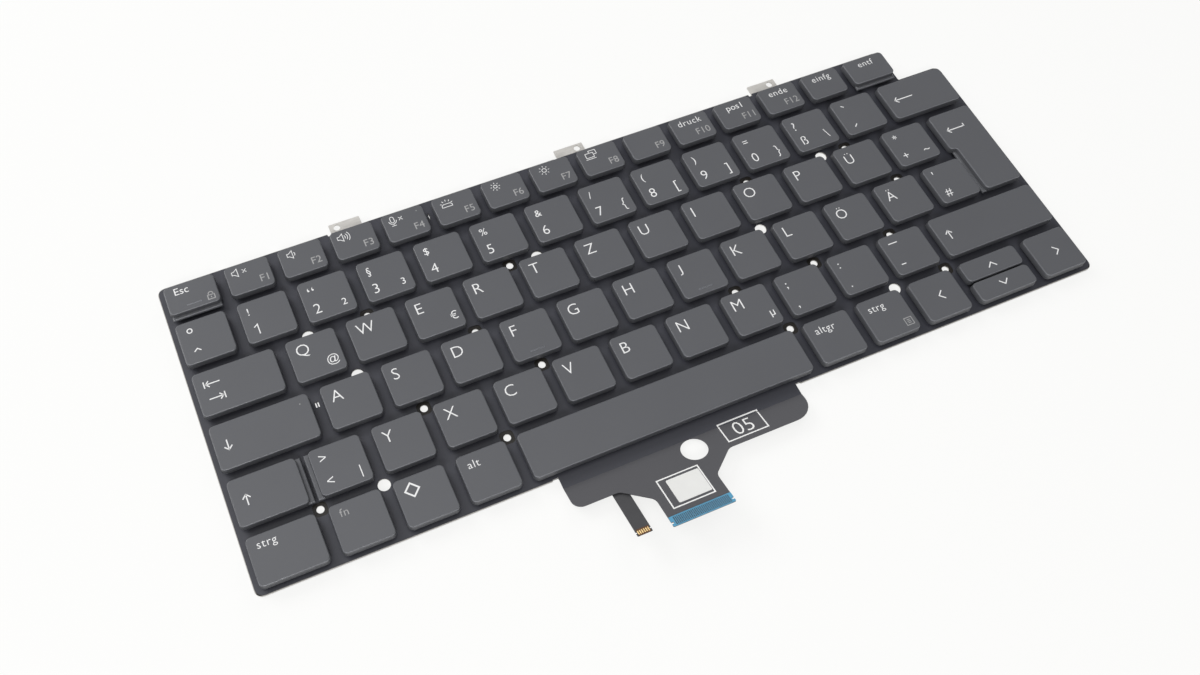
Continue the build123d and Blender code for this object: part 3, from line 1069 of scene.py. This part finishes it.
def eared_end(left, right, reach, notch, end_corner, notch_corner):
    """Corners round a ribbon's front end, from its left side to its right, with a notch behind each ear."""
    notch_front, notch_back = EAR_LENGTH - notch / 2 - reach, EAR_LENGTH + notch / 2 - reach
    sides = []
    for side, inner in ((left, left + notch), (right, right - notch)):
        sides.append([
            (side, -reach, end_corner), (side, notch_front, 0), (inner, notch_front, notch_corner),
            (inner, notch_back, notch_corner), (side, notch_back, 0),
        ])
    return sides[0][::-1] + sides[1]


def window_paths():
    """Openings of the film: rounded squares round the screw holes, and round ones at the posts."""
    half = SCREW_WINDOW / 2
    paths = []
    for x, y in hole_places(SCREW_LINES):
        paths.append(corner_path(box_corners(x - half, y - half, x + half, y + half, WINDOW_CORNER), 0, 4))
    paths += [ring_path(x, y, POST_HOLE + POST_CLEARANCE) for x, y in hole_places(POST_LINES)]
    return paths + slot_paths()


def film_place(height):
    """The matrix of a film that bends up at the crease: X from the field's left, Y along it to the back."""
    turn = Matrix.Rotation(-FILM_TILT, 4, "X")
    return Matrix.Translation((FIELD_LEFT * MM, CREASE * MM, height * MM)) @ turn


def add_crease(bm, left, right, bottom, thick, steps=6):
    """The curved strip that joins a flat film to its bent-up part."""
    radius = CREASE_HALF / math.tan(FILM_TILT / 2)
    centre = Vector((CREASE + CREASE_HALF, bottom + radius))
    rings = []
    for step in range(steps + 1):
        turn = FILM_TILT * step / steps
        out = Vector((-math.sin(turn), -math.cos(turn)))
        low, high = centre + out * radius, centre + out * (radius - thick)
        spots = [(left, low), (right, low), (right, high), (left, high)]
        rings.append([bm.verts.new((x * MM, spot.x * MM, spot.y * MM)) for x, spot in spots])
    skin(bm, rings, smooth=False)


# Finishes

PATCH_SCALE = 60.0
ROUGHNESS_SPREAD = 0.06
# Half the width of the blend from the painted shade on the deck to the plain apron film, at the crease
SHADE_EDGE = 0.05


def grain_group():
    """A group for fine moulded or coated grain: gives mottling and grain from 0 to 1, and a bumped normal."""
    group = bpy.data.node_groups.get("Fine grain")
    if group:
        return group
    group = bpy.data.node_groups.new("Fine grain", "ShaderNodeTree")
    for name, value in (("Scale", 4000.0), ("Depth", 0.1), ("Patch scale", PATCH_SCALE)):
        socket = group.interface.new_socket(name, in_out="INPUT", socket_type="NodeSocketFloat")
        socket.default_value = value
    group.interface.new_socket("Vector", in_out="INPUT", socket_type="NodeSocketVector")
    group.interface.new_socket("Mottle", in_out="OUTPUT", socket_type="NodeSocketFloat")
    group.interface.new_socket("Grain", in_out="OUTPUT", socket_type="NodeSocketFloat")
    group.interface.new_socket("Normal", in_out="OUTPUT", socket_type="NodeSocketVector")
    given = group.nodes.new("NodeGroupInput")
    result = group.nodes.new("NodeGroupOutput")
    fine = group.nodes.new("ShaderNodeTexNoise")
    fine.inputs["Detail"].default_value = 3
    patch = group.nodes.new("ShaderNodeTexNoise")
    patch.inputs["Detail"].default_value = 2
    bump = group.nodes.new("ShaderNodeBump")
    bump.inputs["Distance"].default_value = 0.00002
    link_nodes(
        group,
        (given, "Vector", fine, "Vector"),
        (given, "Vector", patch, "Vector"),
        (given, "Scale", fine, "Scale"),
        (given, "Patch scale", patch, "Scale"),
        (given, "Depth", bump, "Strength"),
        (fine, "Fac", bump, "Height"),
        (patch, "Fac", result, "Mottle"),
        (fine, "Fac", result, "Grain"),
        (bump, "Normal", result, "Normal"),
    )
    return group


def new_finish(name):
    """A new material with its tree, shader and coordinates, or the one that exists and nothing else."""
    material = bpy.data.materials.get(name)
    if material:
        return material, None, None, None
    material = bpy.data.materials.new(name)
    material.use_nodes = True
    tree = material.node_tree
    shader = tree.nodes["Principled BSDF"]
    place = tree.nodes.new("ShaderNodeTexCoord")
    return material, tree, shader, place


def mixed_colour(tree, mask, first, second):
    """A mix of two by a mask, each a colour or an output socket; gives the output socket."""
    mix = tree.nodes.new("ShaderNodeMix")
    mix.data_type = "RGBA"
    tree.links.new(mask, mix.inputs["Factor"])
    for name, colour in (("A", first), ("B", second)):
        if isinstance(colour, tuple):
            mix.inputs[name].default_value = (*colour, 1)
        else:
            tree.links.new(colour, mix.inputs[name])
    return mix.outputs["Result"]


def ranged(tree, value, low, high, start=0.3, end=0.7):
    """A value mapped to a range; gives the output socket."""
    node = tree.nodes.new("ShaderNodeMapRange")
    node.inputs["From Min"].default_value = start
    node.inputs["From Max"].default_value = end
    node.inputs["To Min"].default_value = low
    node.inputs["To Max"].default_value = high
    tree.links.new(value, node.inputs["Value"])
    return node.outputs["Result"]


def scaled(colour, factor):
    """A lighter or darker colour."""
    return tuple(min(part * factor, 1) for part in colour)


def combined(tree, first, second, operation="MULTIPLY"):
    """Two masks multiplied, or joined by another operation; gives the output socket."""
    node = tree.nodes.new("ShaderNodeMath")
    node.operation = operation
    tree.links.new(first, node.inputs[0])
    tree.links.new(second, node.inputs[1])
    return node.outputs["Value"]


def split_vector(tree, vector):
    """The outputs for X, Y and Z of a vector."""
    node = tree.nodes.new("ShaderNodeSeparateXYZ")
    tree.links.new(vector, node.inputs["Vector"])
    return node.outputs


def add_grain(tree, vector, scale, depth, patch_scale):
    """A grain node on the coordinates from a socket."""
    grain = tree.nodes.new("ShaderNodeGroup")
    grain.node_tree = grain_group()
    for name, value in (("Scale", scale), ("Depth", depth), ("Patch scale", patch_scale)):
        grain.inputs[name].default_value = value
    tree.links.new(vector, grain.inputs["Vector"])
    return grain


def grain_surface(tree, shader, grain, colour, low, high):
    """Gives a shader its colour, the grain's normal and a roughness between two by the grain."""
    tree.links.new(colour, shader.inputs["Base Color"])
    tree.links.new(ranged(tree, grain.outputs["Grain"], low, high), shader.inputs["Roughness"])
    tree.links.new(grain.outputs["Normal"], shader.inputs["Normal"])


def grained_finish(name, colour, spread, roughness, scale, depth, patch_scale=PATCH_SCALE, metallic=0.0):
    """A finish of one colour with mottling, uneven roughness and grain."""
    material, tree, shader, place = new_finish(name)
    if tree is None:
        return material
    grain = add_grain(tree, place.outputs["Object"], scale, depth, patch_scale)
    darker, lighter = scaled(colour, 1 - spread), scaled(colour, 1 + spread)
    mottled = mixed_colour(tree, grain.outputs["Mottle"], darker, lighter)
    grain_surface(tree, shader, grain, mottled, roughness - ROUGHNESS_SPREAD, roughness + ROUGHNESS_SPREAD)
    shader.inputs["Metallic"].default_value = metallic
    return material


# Colour, spread of the mottling, roughness and the grain's scale and depth of each plain finish; then, where
# they differ from the others, the scale of its patches and how metallic it is
PLAIN_FINISHES = {
    "Dome rubber": ((0.3, 0.3, 0.31), 0.08, 0.45, 1500, 0.15),
    "Link plastic": ((0.035, 0.035, 0.037), 0.1, 0.4, 2500, 0.2),
    "Spring wire": ((0.5, 0.5, 0.5), 0.1, 0.28, 3000, 0.2, PATCH_SCALE, 1.0),
    "White print": ((0.9, 0.9, 0.89), 0.04, 0.6, 4000, 0.1),
    "Ribbon film": ((0.068, 0.068, 0.072), 0.12, 0.38, 2600, 0.2, 200),
    "Contact gold": ((0.95, 0.68, 0.32), 0.08, 0.35, 3000, 0.2, PATCH_SCALE, 0.6),
    "Contact pad": ((0.13, 0.06, 0.03), 0.1, 0.4, 2500, 0.15),
    "Backlight mask": ((0.03, 0.03, 0.033), 0.12, 0.5, 1800, 0.25, 25),
    "Contact lines": ((0.05, 0.045, 0.05), 0.1, 0.4, 2500, 0.15),
    "Label paper": ((0.82, 0.82, 0.8), 0.03, 0.55, 1800, 0.2, 250),
}


def plain_finish(name):
    """A finish from the list above."""
    return grained_finish(name, *PLAIN_FINISHES[name])


def keycap_finish(look):
    """Matt coated plastic, polished along the rounded edges, with a painted highlight that makes the front
    edges, and faintly the left ones, paler.
    """
    material, tree, shader, place = new_finish("Keycap coat")
    if tree is None:
        return material
    colour = tuple(look.cap_colour)
    grain = add_grain(tree, place.outputs["Object"], 4200, 0.12, 45)
    normal = tree.nodes.new("ShaderNodeNewGeometry").outputs["Normal"]
    upward = split_vector(tree, normal)["Z"]
    below_top = ranged(tree, upward, 1, 0, 0.93, 0.995)
    above_wall = ranged(tree, upward, 0, 1, 0.2, 0.5)
    edge = combined(tree, below_top, above_wall)
    # Painted highlight: rounded edges facing the front, and less those facing left, are lightened 2.1 times
    # in place of the glint of a light in front
    glint_facing = tree.nodes.new("ShaderNodeVectorMath")
    glint_facing.operation = "DOT_PRODUCT"
    glint_facing.inputs[1].default_value = (-0.35, -1, 0)
    tree.links.new(normal, glint_facing.inputs[0])
    painted_glint = combined(tree, edge, ranged(tree, glint_facing.outputs["Value"], 0, 1, 0.1, 0.6))
    mottled = mixed_colour(tree, grain.outputs["Mottle"], scaled(colour, 0.95), scaled(colour, 1.05))
    tree.links.new(mixed_colour(tree, painted_glint, mottled, scaled(colour, 2.1)), shader.inputs["Base Color"])
    matt = ranged(tree, grain.outputs["Grain"], 0.36, 0.48)
    polish = ranged(tree, edge, 0.0, 0.1, 0, 1)
    tree.links.new(combined(tree, matt, polish, "SUBTRACT"), shader.inputs["Roughness"])
    tree.links.new(grain.outputs["Normal"], shader.inputs["Normal"])
    return material


def bar_highlight_finish(look):
    """Coat of the homing bars, polished by fingers, its colour painted 2.2 times paler than the caps as a
    highlight that also lifts the bar's shaded front slope.
    """
    return grained_finish("Homing bar painted highlight", scaled(look.cap_colour, 2.2), 0.06, 0.3, 4200, 0.1)


def legend_finish(look):
    """Bright lacquer of the legends."""
    return grained_finish("Legend", tuple(look.legend_colour), 0.04, 0.6, 5000, 0.1)


def dim_legend_finish(look):
    """Grey lacquer of the second legends."""
    return grained_finish("Dim legend", tuple(look.dim_legend_colour), 0.05, 0.6, 5000, 0.1)


def film_finish(look):
    """Dark switch film, painted darker over the deck as far as the crease: painted shade for the gaps between
    the caps and the band under the space bar, on the same film as the apron.
    """
    material, tree, shader, place = new_finish("Switch film")
    if tree is None:
        return material
    grain = add_grain(tree, place.outputs["Object"], 2600, 0.2, 30)
    along = split_vector(tree, place.outputs["Object"])["Y"]
    # Painted shade over the deck, blended off at the crease
    deck_shade = ranged(tree, along, 0, 1, (CREASE - SHADE_EDGE) * MM, (CREASE + SHADE_EDGE) * MM)
    colours = []
    for colour in (look.film_colour, look.deck_shade_colour):
        darker, lighter = scaled(colour, 0.92), scaled(colour, 1.08)
        colours.append(mixed_colour(tree, grain.outputs["Mottle"], darker, lighter))
    grain_surface(tree, shader, grain, mixed_colour(tree, deck_shade, *colours), 0.38, 0.5)
    return material


def stiffener_finish(look):
    """Blue stiffener film."""
    return grained_finish("Stiffener film", tuple(look.stiffener_colour), 0.1, 0.35, 2500, 0.15, 300)


def plate_finish():
    """Sheet metal, bare on the tabs and rims and coated dark on top."""
    material, tree, shader, place = new_finish("Plate metal")
    if tree is None:
        return material
    stretch = tree.nodes.new("ShaderNodeMapping")
    stretch.inputs["Scale"].default_value = (0.15, 1, 1)
    tree.links.new(place.outputs["Object"], stretch.inputs["Vector"])
    grain = add_grain(tree, stretch.outputs["Vector"], 2200, 0.25, PATCH_SCALE)
    spot = split_vector(tree, place.outputs["Object"])
    upward = split_vector(tree, tree.nodes.new("ShaderNodeNewGeometry").outputs["Normal"])["Z"]
    coat = ranged(tree, upward, 0, 1, 0.5, 0.6)
    for axis, low, high in (("X", DECK_LEFT, DECK_RIGHT), ("Y", DECK_FRONT, DECK_BACK)):
        for edge, inner in ((low, low + BARE_MARGIN), (high, high - BARE_MARGIN)):
            coat = combined(tree, coat, ranged(tree, spot[axis], 0, 1, edge * MM, inner * MM))
    bare = mixed_colour(tree, grain.outputs["Grain"], (0.62, 0.6, 0.57), (0.78, 0.76, 0.72))
    grain_surface(tree, shader, grain, mixed_colour(tree, coat, bare, (0.022, 0.019, 0.016)), 0.34, 0.5)
    tree.links.new(ranged(tree, coat, 0.3, 0.0, 0, 1), shader.inputs["Metallic"])
    return material


# Stage, in metres

FLOOR_HALF = 4
FLOOR_GLOW = 0.8
ROOM_LIGHT = 0.22
# Name, place, width, depth and power in watts of each soft light, and whether glossy faces mirror it
SOFTBOXES = (
    ("Left softbox", (-0.85, 1.0, 0.9), 1.0, 0.8, 12, True),
    ("Top softbox", (-0.18, 0.0, 1.1), 0.7, 0.9, 3.0, True),
    ("Front softbox", (-0.35, -0.8, 0.8), 0.4, 0.25, 4.5, True),
    ("Right softbox", (0.85, 1.0, 0.9), 1.0, 0.8, 4.5, False),
)
# The lens in millimetres, and the camera's axes and place
SENSOR_WIDTH = 36
LENS_LENGTH = 33.617
LENS_SHIFT = (0.0670, 0.0087)
LENS_CLIP = (0.01, 50)
CAMERA_RIGHT = (0.91842, -0.39472, 0.02645)
CAMERA_UP = (0.33753, 0.81670, 0.46806)
CAMERA_BACK = (-0.20635, -0.42094, 0.88331)
CAMERA_PLACE = (-0.113452, -0.140262, 0.302457)


def add_softbox(name, place, width, depth, power, mirrored):
    """A soft area light that faces the object."""
    lamp = bpy.data.lights.new(name, "AREA")
    lamp.shape = "RECTANGLE"
    lamp.size = width
    lamp.size_y = depth
    lamp.energy = power
    softbox = bpy.data.objects.new(name, lamp)
    softbox.location = place
    softbox.rotation_euler = (-softbox.location).to_track_quat("-Z", "Y").to_euler()
    softbox.visible_glossy = mirrored
    bpy.context.collection.objects.link(softbox)


def floor_finish():
    """Pale floor that stays white in the picture and still takes soft shadows."""
    material, tree, shader, place = new_finish("Pale floor")
    if tree is None:
        return material
    shader.inputs["Base Color"].default_value = (0.9, 0.9, 0.89, 1)
    shader.inputs["Roughness"].default_value = 0.9
    shader.inputs["Specular IOR Level"].default_value = 0.1
    seen = tree.nodes.new("ShaderNodeLightPath")
    glow = tree.nodes.new("ShaderNodeEmission")
    glow.inputs["Color"].default_value = (1, 1, 0.99, 1)
    glow.inputs["Strength"].default_value = 1.0
    share = tree.nodes.new("ShaderNodeMath")
    share.operation = "MULTIPLY"
    share.inputs[1].default_value = FLOOR_GLOW
    mix = tree.nodes.new("ShaderNodeMixShader")
    link_nodes(
        tree,
        (seen, "Is Camera Ray", share, 0),
        (share, "Value", mix, "Fac"),
        (shader, "BSDF", mix, 1),
        (glow, "Emission", mix, 2),
        (mix, "Shader", tree.nodes["Material Output"], "Surface"),
    )
    return material


# Operators

class KEYBOARD_OT_typing_caps(bpy.types.Operator):
    """Make the caps of the four typing rows, each on its own sliding body"""

    bl_idname = "keyboard.typing_caps"
    bl_label = "Typing Caps"

    def execute(self, context):
        look = context.scene.keyboard_look
        for name in typing_names():
            piece = new_piece("cap_" + name, typing_cap(name, look), cap_materials(look))
            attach(piece, "key_" + name)
            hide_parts("key_" + name)
        return {"FINISHED"}


class KEYBOARD_OT_fixed_rows(bpy.types.Operator):
    """Make the caps of the function row and the number row"""

    bl_idname = "keyboard.fixed_rows"
    bl_label = "Fixed Rows"

    def execute(self, context):
        look = context.scene.keyboard_look
        bm = bmesh.new()
        for place, (low, high) in enumerate(solid_boxes("function_row_keys")):
            front = low.y
            if high.y - low.y > LEDGED_DEPTH:
                front += FRONT_LEDGE_REACH
                ledge_left, ledge_right = low.x + CAP_FLARE, high.x - CAP_FLARE
                ledge = box_corners(ledge_left, low.y, ledge_right, front + LEDGE_OVERLAP, LEDGE_CORNER)
                add_cap(bm, ledge, look, CAP_TOP - LEDGE_DROP)
            add_cap(bm, box_corners(low.x, front, high.x, high.y, look.cap_corner), look)
            function_legend(bm, place, low.x + CAP_FLARE, high.x - CAP_FLARE, high.y - CAP_FLARE, look)
            if place == 0:
                add_bar(bm, (low.x + high.x) / 2, front + CAP_FLARE + BAR_INSET, BAR_WIDTH)
        piece = new_piece("function_row_caps", bm, cap_materials(look))
        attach(piece, "deck")
        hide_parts("function_row_keys")
        bm = bmesh.new()
        for place, (low, high) in enumerate(solid_boxes("number_row_keys")):
            add_cap(bm, box_corners(low.x, low.y, high.x, high.y, look.cap_corner), look)
            number_legend(bm, place, low.x + CAP_FLARE, high.x - CAP_FLARE, high.y - CAP_FLARE, look)
        piece = new_piece("number_row_caps", bm, cap_materials(look))
        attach(piece, "deck")
        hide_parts("number_row_keys")
        return {"FINISHED"}


class KEYBOARD_OT_works(bpy.types.Operator):
    """Make the domes, folding links and stabiliser wires under the caps"""

    bl_idname = "keyboard.works"
    bl_label = "Domes and Links"

    def execute(self, context):
        finishes = [plain_finish("Dome rubber"), plain_finish("Link plastic"), plain_finish("Spring wire")]
        for name in typing_names():
            x, y = key_middle(name)
            left, front, right, back = key_rectangle(name)
            depth = LINK_DEPTH if back - front > HALF_KEY_DEPTH else SHORT_LINK_DEPTH
            long_side = max(right - left, back - front)
            wired = long_side > WIRED_WIDTH and name not in ("arrow_up", "arrow_down")
            wire = long_side - WIRE_SHORTER if wired else 0
            bm = repeated_works([(x, y, FILM_TOP)], LINK_WIDTH, depth, wire, name == "return")
            piece = new_piece("works_" + name, bm, finishes)
            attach(piece, "deck")
            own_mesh(piece)
            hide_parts("rubber_domes")
        number_boxes = solid_boxes("number_row_keys")
        numbers = [((low.x + high.x) / 2, (low.y + high.y) / 2, FILM_TOP) for low, high in number_boxes]
        functions = []
        for low, high in solid_boxes("function_row_keys"):
            functions.append(((low.x + high.x) / 2, high.y - FUNCTION_DOME_DEPTH, FILM_TOP))
        last_low, last_high = number_boxes[-1]
        last_wire = last_high.x - last_low.x - WIRE_SHORTER
        groups = [
            (numbers[:-1], LINK_WIDTH, LINK_DEPTH, 0),
            (numbers[-1:], LINK_WIDTH, LINK_DEPTH, last_wire),
            (functions, FUNCTION_LINK_WIDTH, FUNCTION_LINK_DEPTH, 0),
        ]
        bm = bmesh.new()
        for points, width, depth, wire in groups:
            mesh = bpy.data.meshes.new("works")
            group = repeated_works(points, width, depth, wire)
            group.to_mesh(mesh)
            group.free()
            bm.from_mesh(mesh)
            bpy.data.meshes.remove(mesh)
        piece = new_piece("works_fixed_rows", bm, finishes)
        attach(piece, "deck")
        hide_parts("rubber_domes")
        return {"FINISHED"}


class KEYBOARD_OT_plate(bpy.types.Operator):
    """Make the perforated base plate with its bare tabs"""

    bl_idname = "keyboard.plate"
    bl_label = "Base Plate"

    def execute(self, context):
        paths = [corner_path(deck_corners(tabs=True), 0, 6)]
        paths += [ring_path(x, y, SCREW_HOLE) for x, y in hole_places(SCREW_LINES)]
        paths += [ring_path(x, y, POST_HOLE) for x, y in hole_places(POST_LINES)]
        for tab, hole in zip(TAB_INSETS, TAB_HOLES):
            paths.append(ring_path(FIELD_LEFT + tab + hole, DECK_BACK + TAB_HOLE_REACH, TAB_HOLE))
        bm = bmesh.new()
        join_mesh(bm, cut_sheet(paths + slot_paths(), PLATE_BOTTOM, FILM_BOTTOM), 0)
        piece = new_piece("plate", bm, [plate_finish()])
        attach(piece, "deck")
        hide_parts("base_plate")
        return {"FINISHED"}


class KEYBOARD_OT_film(bpy.types.Operator):
    """Make the switch film with its windows, its bent apron and its tail"""

    bl_idname = "keyboard.film"
    bl_label = "Switch Film"

    def execute(self, context):
        look = context.scene.keyboard_look
        bm = bmesh.new()
        flat = [corner_path(deck_corners(apron=True, inset=RIM_SHOW), 0, 6)] + window_paths()
        join_mesh(bm, cut_sheet(flat, FILM_BOTTOM, FILM_TOP), 0)
        rim = [
            (APRON_LEFT, -CREASE_HALF, 0), (APRON_LEFT, -APRON_REACH, APRON_LEFT_CORNER),
            (FUNNEL_LEFT, -APRON_REACH, FUNNEL_CORNER), (TAIL_LEFT, -FUNNEL_REACH, FUNNEL_CORNER),
        ]
        rim += eared_end(TAIL_LEFT, TAIL_RIGHT, TAIL_REACH, EAR_NOTCH, TAIL_CORNER, EAR_CORNER)
        rim += [
            (TAIL_RIGHT, -FUNNEL_REACH, FUNNEL_CORNER), (FUNNEL_RIGHT, -APRON_REACH, FUNNEL_CORNER),
            (APRON_RIGHT, -APRON_REACH, APRON_RIGHT_CORNER), (APRON_RIGHT, -CREASE_HALF, 0),
        ]
        bent = [corner_path(rim, 0, 8), ring_path(*APRON_HOLE, 48)]
        place = film_place(FILM_BOTTOM)
        join_mesh(bm, cut_sheet(bent, 0, FILM_THICK), 0, place)
        add_crease(bm, FIELD_LEFT + APRON_LEFT, FIELD_LEFT + APRON_RIGHT, FILM_BOTTOM, FILM_THICK)
        local = Matrix.Diagonal((1 / MM, 1 / MM, 1 / MM, 1)) @ place @ Matrix.Diagonal((MM, MM, MM, 1))
        level = Matrix.Translation((FIELD_LEFT, CREASE, FILM_BOTTOM))
        lift = FILM_THICK + PRINT_LIFT
        left, front, right, back = LABEL_FRAME
        frame_points = [(left, front), (right, front), (right, back), (left, back)]
        add_stroke(bm, frame_points, 1, PRINT_LINE, lift, True, local)
        left, front, right, back = NUMBER_FRAME
        for edge, start, side in ((front, -CREASE_HALF, local), (back, CREASE_HALF, level)):
            half_frame = [(left, start), (left, edge), (right, edge), (right, start)]
            add_stroke(bm, half_frame, 1, PRINT_LINE, lift, place=side)
        start = len(bm.verts)
        add_type(bm, "05", (left + right) / 2, NUMBER_BASE, NUMBER_HEIGHT, 1, look, 0.5)
        bm.verts.ensure_lookup_table()
        sink = Matrix.Translation((0, 0, (lift - CAP_TOP - LEGEND_LIFT) * MM))
        bmesh.ops.transform(bm, matrix=place @ sink, verts=bm.verts[start:])
        piece = new_piece("film", bm, [film_finish(look), plain_finish("White print")])
        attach(piece, "deck")
        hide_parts("membrane")
        return {"FINISHED"}


class KEYBOARD_OT_tail_end(bpy.types.Operator):
    """Make the tail's stiffener with its contact lines, and the blank label"""

    bl_idname = "keyboard.tail_end"
    bl_label = "Tail End and Label"

    def execute(self, context):
        look = context.scene.keyboard_look
        place = film_place(FILM_BOTTOM)
        back = STIFFENER_LENGTH - TAIL_REACH
        rim = eared_end(TAIL_LEFT, TAIL_RIGHT, TAIL_REACH, EAR_NOTCH, TAIL_CORNER, EAR_CORNER)
        rim += [(TAIL_RIGHT, back, STIFFENER_CORNER), (TAIL_LEFT, back, STIFFENER_CORNER)]
        top = FILM_THICK + STIFFENER_THICK
        bm = bmesh.new()
        join_mesh(bm, cut_sheet([corner_path(rim, 0, 4)], FILM_THICK, top), 0, place)
        front_end, back_end = CONTACT_ENDS
        line = (-CONTACT_HALF, front_end, CONTACT_HALF, STIFFENER_LENGTH - back_end)
        pitch = (TAIL_RIGHT - TAIL_LEFT - 2 * CONTACT_MARGIN) / (CONTACT_COUNT - 1)
        first = TAIL_LEFT + CONTACT_MARGIN
        points = [(first + pitch * step, -TAIL_REACH, top) for step in range(CONTACT_COUNT)]
        contact = raised_strip(line, CONTACT_CORNER, CONTACT_RISE)
        join_mesh(bm, repeat(contact, points, plain_finish("Contact lines")), 1, place)
        piece = new_piece("stiffener", bm, [stiffener_finish(look), plain_finish("Contact lines")])
        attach(piece, "deck")
        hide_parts("tail_stiffener")
        bm = bmesh.new()
        label = corner_path(box_corners(*LABEL_BOX, LABEL_CORNER), 0, 4)
        join_mesh(bm, cut_sheet([label], FILM_THICK, FILM_THICK + LABEL_THICK), 0, place)
        piece = new_piece("label", bm, [plain_finish("Label paper")])
        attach(piece, "deck")
        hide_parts("blank_label")
        return {"FINISHED"}


class KEYBOARD_OT_backlight(bpy.types.Operator):
    """Make the backlight sheet and its ribbon with gold contact fingers"""

    bl_idname = "keyboard.backlight"
    bl_label = "Backlight"

    def execute(self, context):
        places = hole_places(SCREW_LINES) + hole_places(POST_LINES)
        holes = [ring_path(x, y, BACKLIGHT_HOLE) for x, y in places]
        bm = bmesh.new()
        rim = corner_path(deck_corners(inset=BACKLIGHT_INSET), 0, 6)
        join_mesh(bm, cut_sheet([rim] + holes + slot_paths(), 0, PLATE_BOTTOM), 0)
        piece = new_piece("backlight", bm, [plain_finish("Backlight mask")])
        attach(piece, "deck")
        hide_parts("backlight_sheet")
        bm = bmesh.new()
        place = film_place(STRIP_BOTTOM)
        left, right = FIELD_LEFT + STRIP_LEFT, FIELD_LEFT + STRIP_RIGHT
        corners = box_corners(left, CREASE + CREASE_HALF, right, DECK_FRONT + BACKLIGHT_INSET, 0)
        join_mesh(bm, cut_sheet([corner_path(corners)], STRIP_BOTTOM, STRIP_BOTTOM + STRIP_THICK), 0)
        add_crease(bm, left, right, STRIP_BOTTOM, STRIP_THICK)
        rim = eared_end(STRIP_LEFT, STRIP_RIGHT, STRIP_REACH, STRIP_NOTCH, STRIP_CORNER, STRIP_NOTCH_CORNER)
        rim += [(STRIP_RIGHT, -CREASE_HALF, 0), (STRIP_LEFT, -CREASE_HALF, 0)]
        join_mesh(bm, cut_sheet([corner_path(rim, 0, 3)], 0, STRIP_THICK), 0, place)
        top = STRIP_THICK + PAD_THICK
        first = STRIP_LEFT + FINGER_MARGIN
        points = [(first + FINGER_PITCH * step, -STRIP_REACH, top) for step in range(FINGER_COUNT)]
        finger = raised_strip(FINGER_BOX, FINGER_CORNER, FINGER_RISE)
        join_mesh(bm, repeat(finger, points, plain_finish("Contact gold")), 1, place)
        pad_front, pad_back = [end - STRIP_REACH for end in PAD_ENDS]
        pad = box_corners(STRIP_LEFT + PAD_MARGIN, pad_front, STRIP_RIGHT - PAD_MARGIN, pad_back, PAD_CORNER)
        join_mesh(bm, cut_sheet([corner_path(pad, 0, 2)], STRIP_THICK, top), 2, place)
        finishes = [plain_finish("Ribbon film"), plain_finish("Contact gold"), plain_finish("Contact pad")]
        piece = new_piece("ribbon", bm, finishes)
        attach(piece, "deck")
        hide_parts("backlight_tail")
        return {"FINISHED"}


class KEYBOARD_OT_stage(bpy.types.Operator):
    """Make the pale floor, the soft light and the camera"""

    bl_idname = "keyboard.stage"
    bl_label = "Stage"

    def execute(self, context):
        scene = context.scene
        bm = bmesh.new()
        spots = ((-1, -1, 0), (1, -1, 0), (1, 1, 0), (-1, 1, 0))
        bm.faces.new([bm.verts.new(Vector(spot) * FLOOR_HALF) for spot in spots])
        floor = new_piece("floor", bm, [floor_finish()])
        world = bpy.data.worlds.new("Soft room")
        world.use_nodes = True
        room = world.node_tree.nodes["Background"]
        room.inputs["Color"].default_value = (1, 1, 1, 1)
        room.inputs["Strength"].default_value = ROOM_LIGHT
        scene.world = world
        for softbox in SOFTBOXES:
            add_softbox(*softbox)
        lens = bpy.data.cameras.new("Camera")
        lens.sensor_width = SENSOR_WIDTH
        lens.lens = LENS_LENGTH
        lens.shift_x, lens.shift_y = LENS_SHIFT
        lens.clip_start, lens.clip_end = LENS_CLIP
        camera = bpy.data.objects.new("Camera", lens)
        turn = Matrix((CAMERA_RIGHT, CAMERA_UP, CAMERA_BACK)).transposed()
        camera.matrix_world = Matrix.Translation(CAMERA_PLACE) @ turn.to_4x4()
        context.collection.objects.link(camera)
        scene.camera = camera
        scene.view_settings.view_transform = "Standard"
        return {"FINISHED"}


class KEYBOARD_PT_sidebar(bpy.types.Panel):
    """Keyboard pieces, finishes and stage"""

    bl_idname = "KEYBOARD_PT_sidebar"
    bl_label = "Keyboard"
    bl_space_type = "VIEW_3D"
    bl_region_type = "UI"
    bl_category = "Keyboard"

    def draw(self, context):
        look = context.scene.keyboard_look
        for name in look.bl_rna.properties.keys():
            if name not in ("rna_type", "name"):
                self.layout.prop(look, name)
        for operator in OPERATORS:
            self.layout.operator(operator.bl_idname)


OPERATORS = (
    KEYBOARD_OT_typing_caps,
    KEYBOARD_OT_fixed_rows,
    KEYBOARD_OT_works,
    KEYBOARD_OT_plate,
    KEYBOARD_OT_film,
    KEYBOARD_OT_tail_end,
    KEYBOARD_OT_backlight,
    KEYBOARD_OT_stage,
)


def register():
    bpy.utils.register_class(KeyboardLook)
    for operator in OPERATORS:
        bpy.utils.register_class(operator)
    bpy.utils.register_class(KEYBOARD_PT_sidebar)
    bpy.types.Scene.keyboard_look = bpy.props.PointerProperty(type=KeyboardLook)


def unregister():
    del bpy.types.Scene.keyboard_look
    bpy.utils.unregister_class(KEYBOARD_PT_sidebar)
    for operator in reversed(OPERATORS):
        bpy.utils.unregister_class(operator)
    bpy.utils.unregister_class(KeyboardLook)


def main():
    register()
    bpy.ops.keyboard.typing_caps()
    bpy.ops.keyboard.fixed_rows()
    bpy.ops.keyboard.works()
    bpy.ops.keyboard.plate()
    bpy.ops.keyboard.film()
    bpy.ops.keyboard.tail_end()
    bpy.ops.keyboard.backlight()
    bpy.ops.keyboard.stage()


if __name__ == "__main__":
    main()
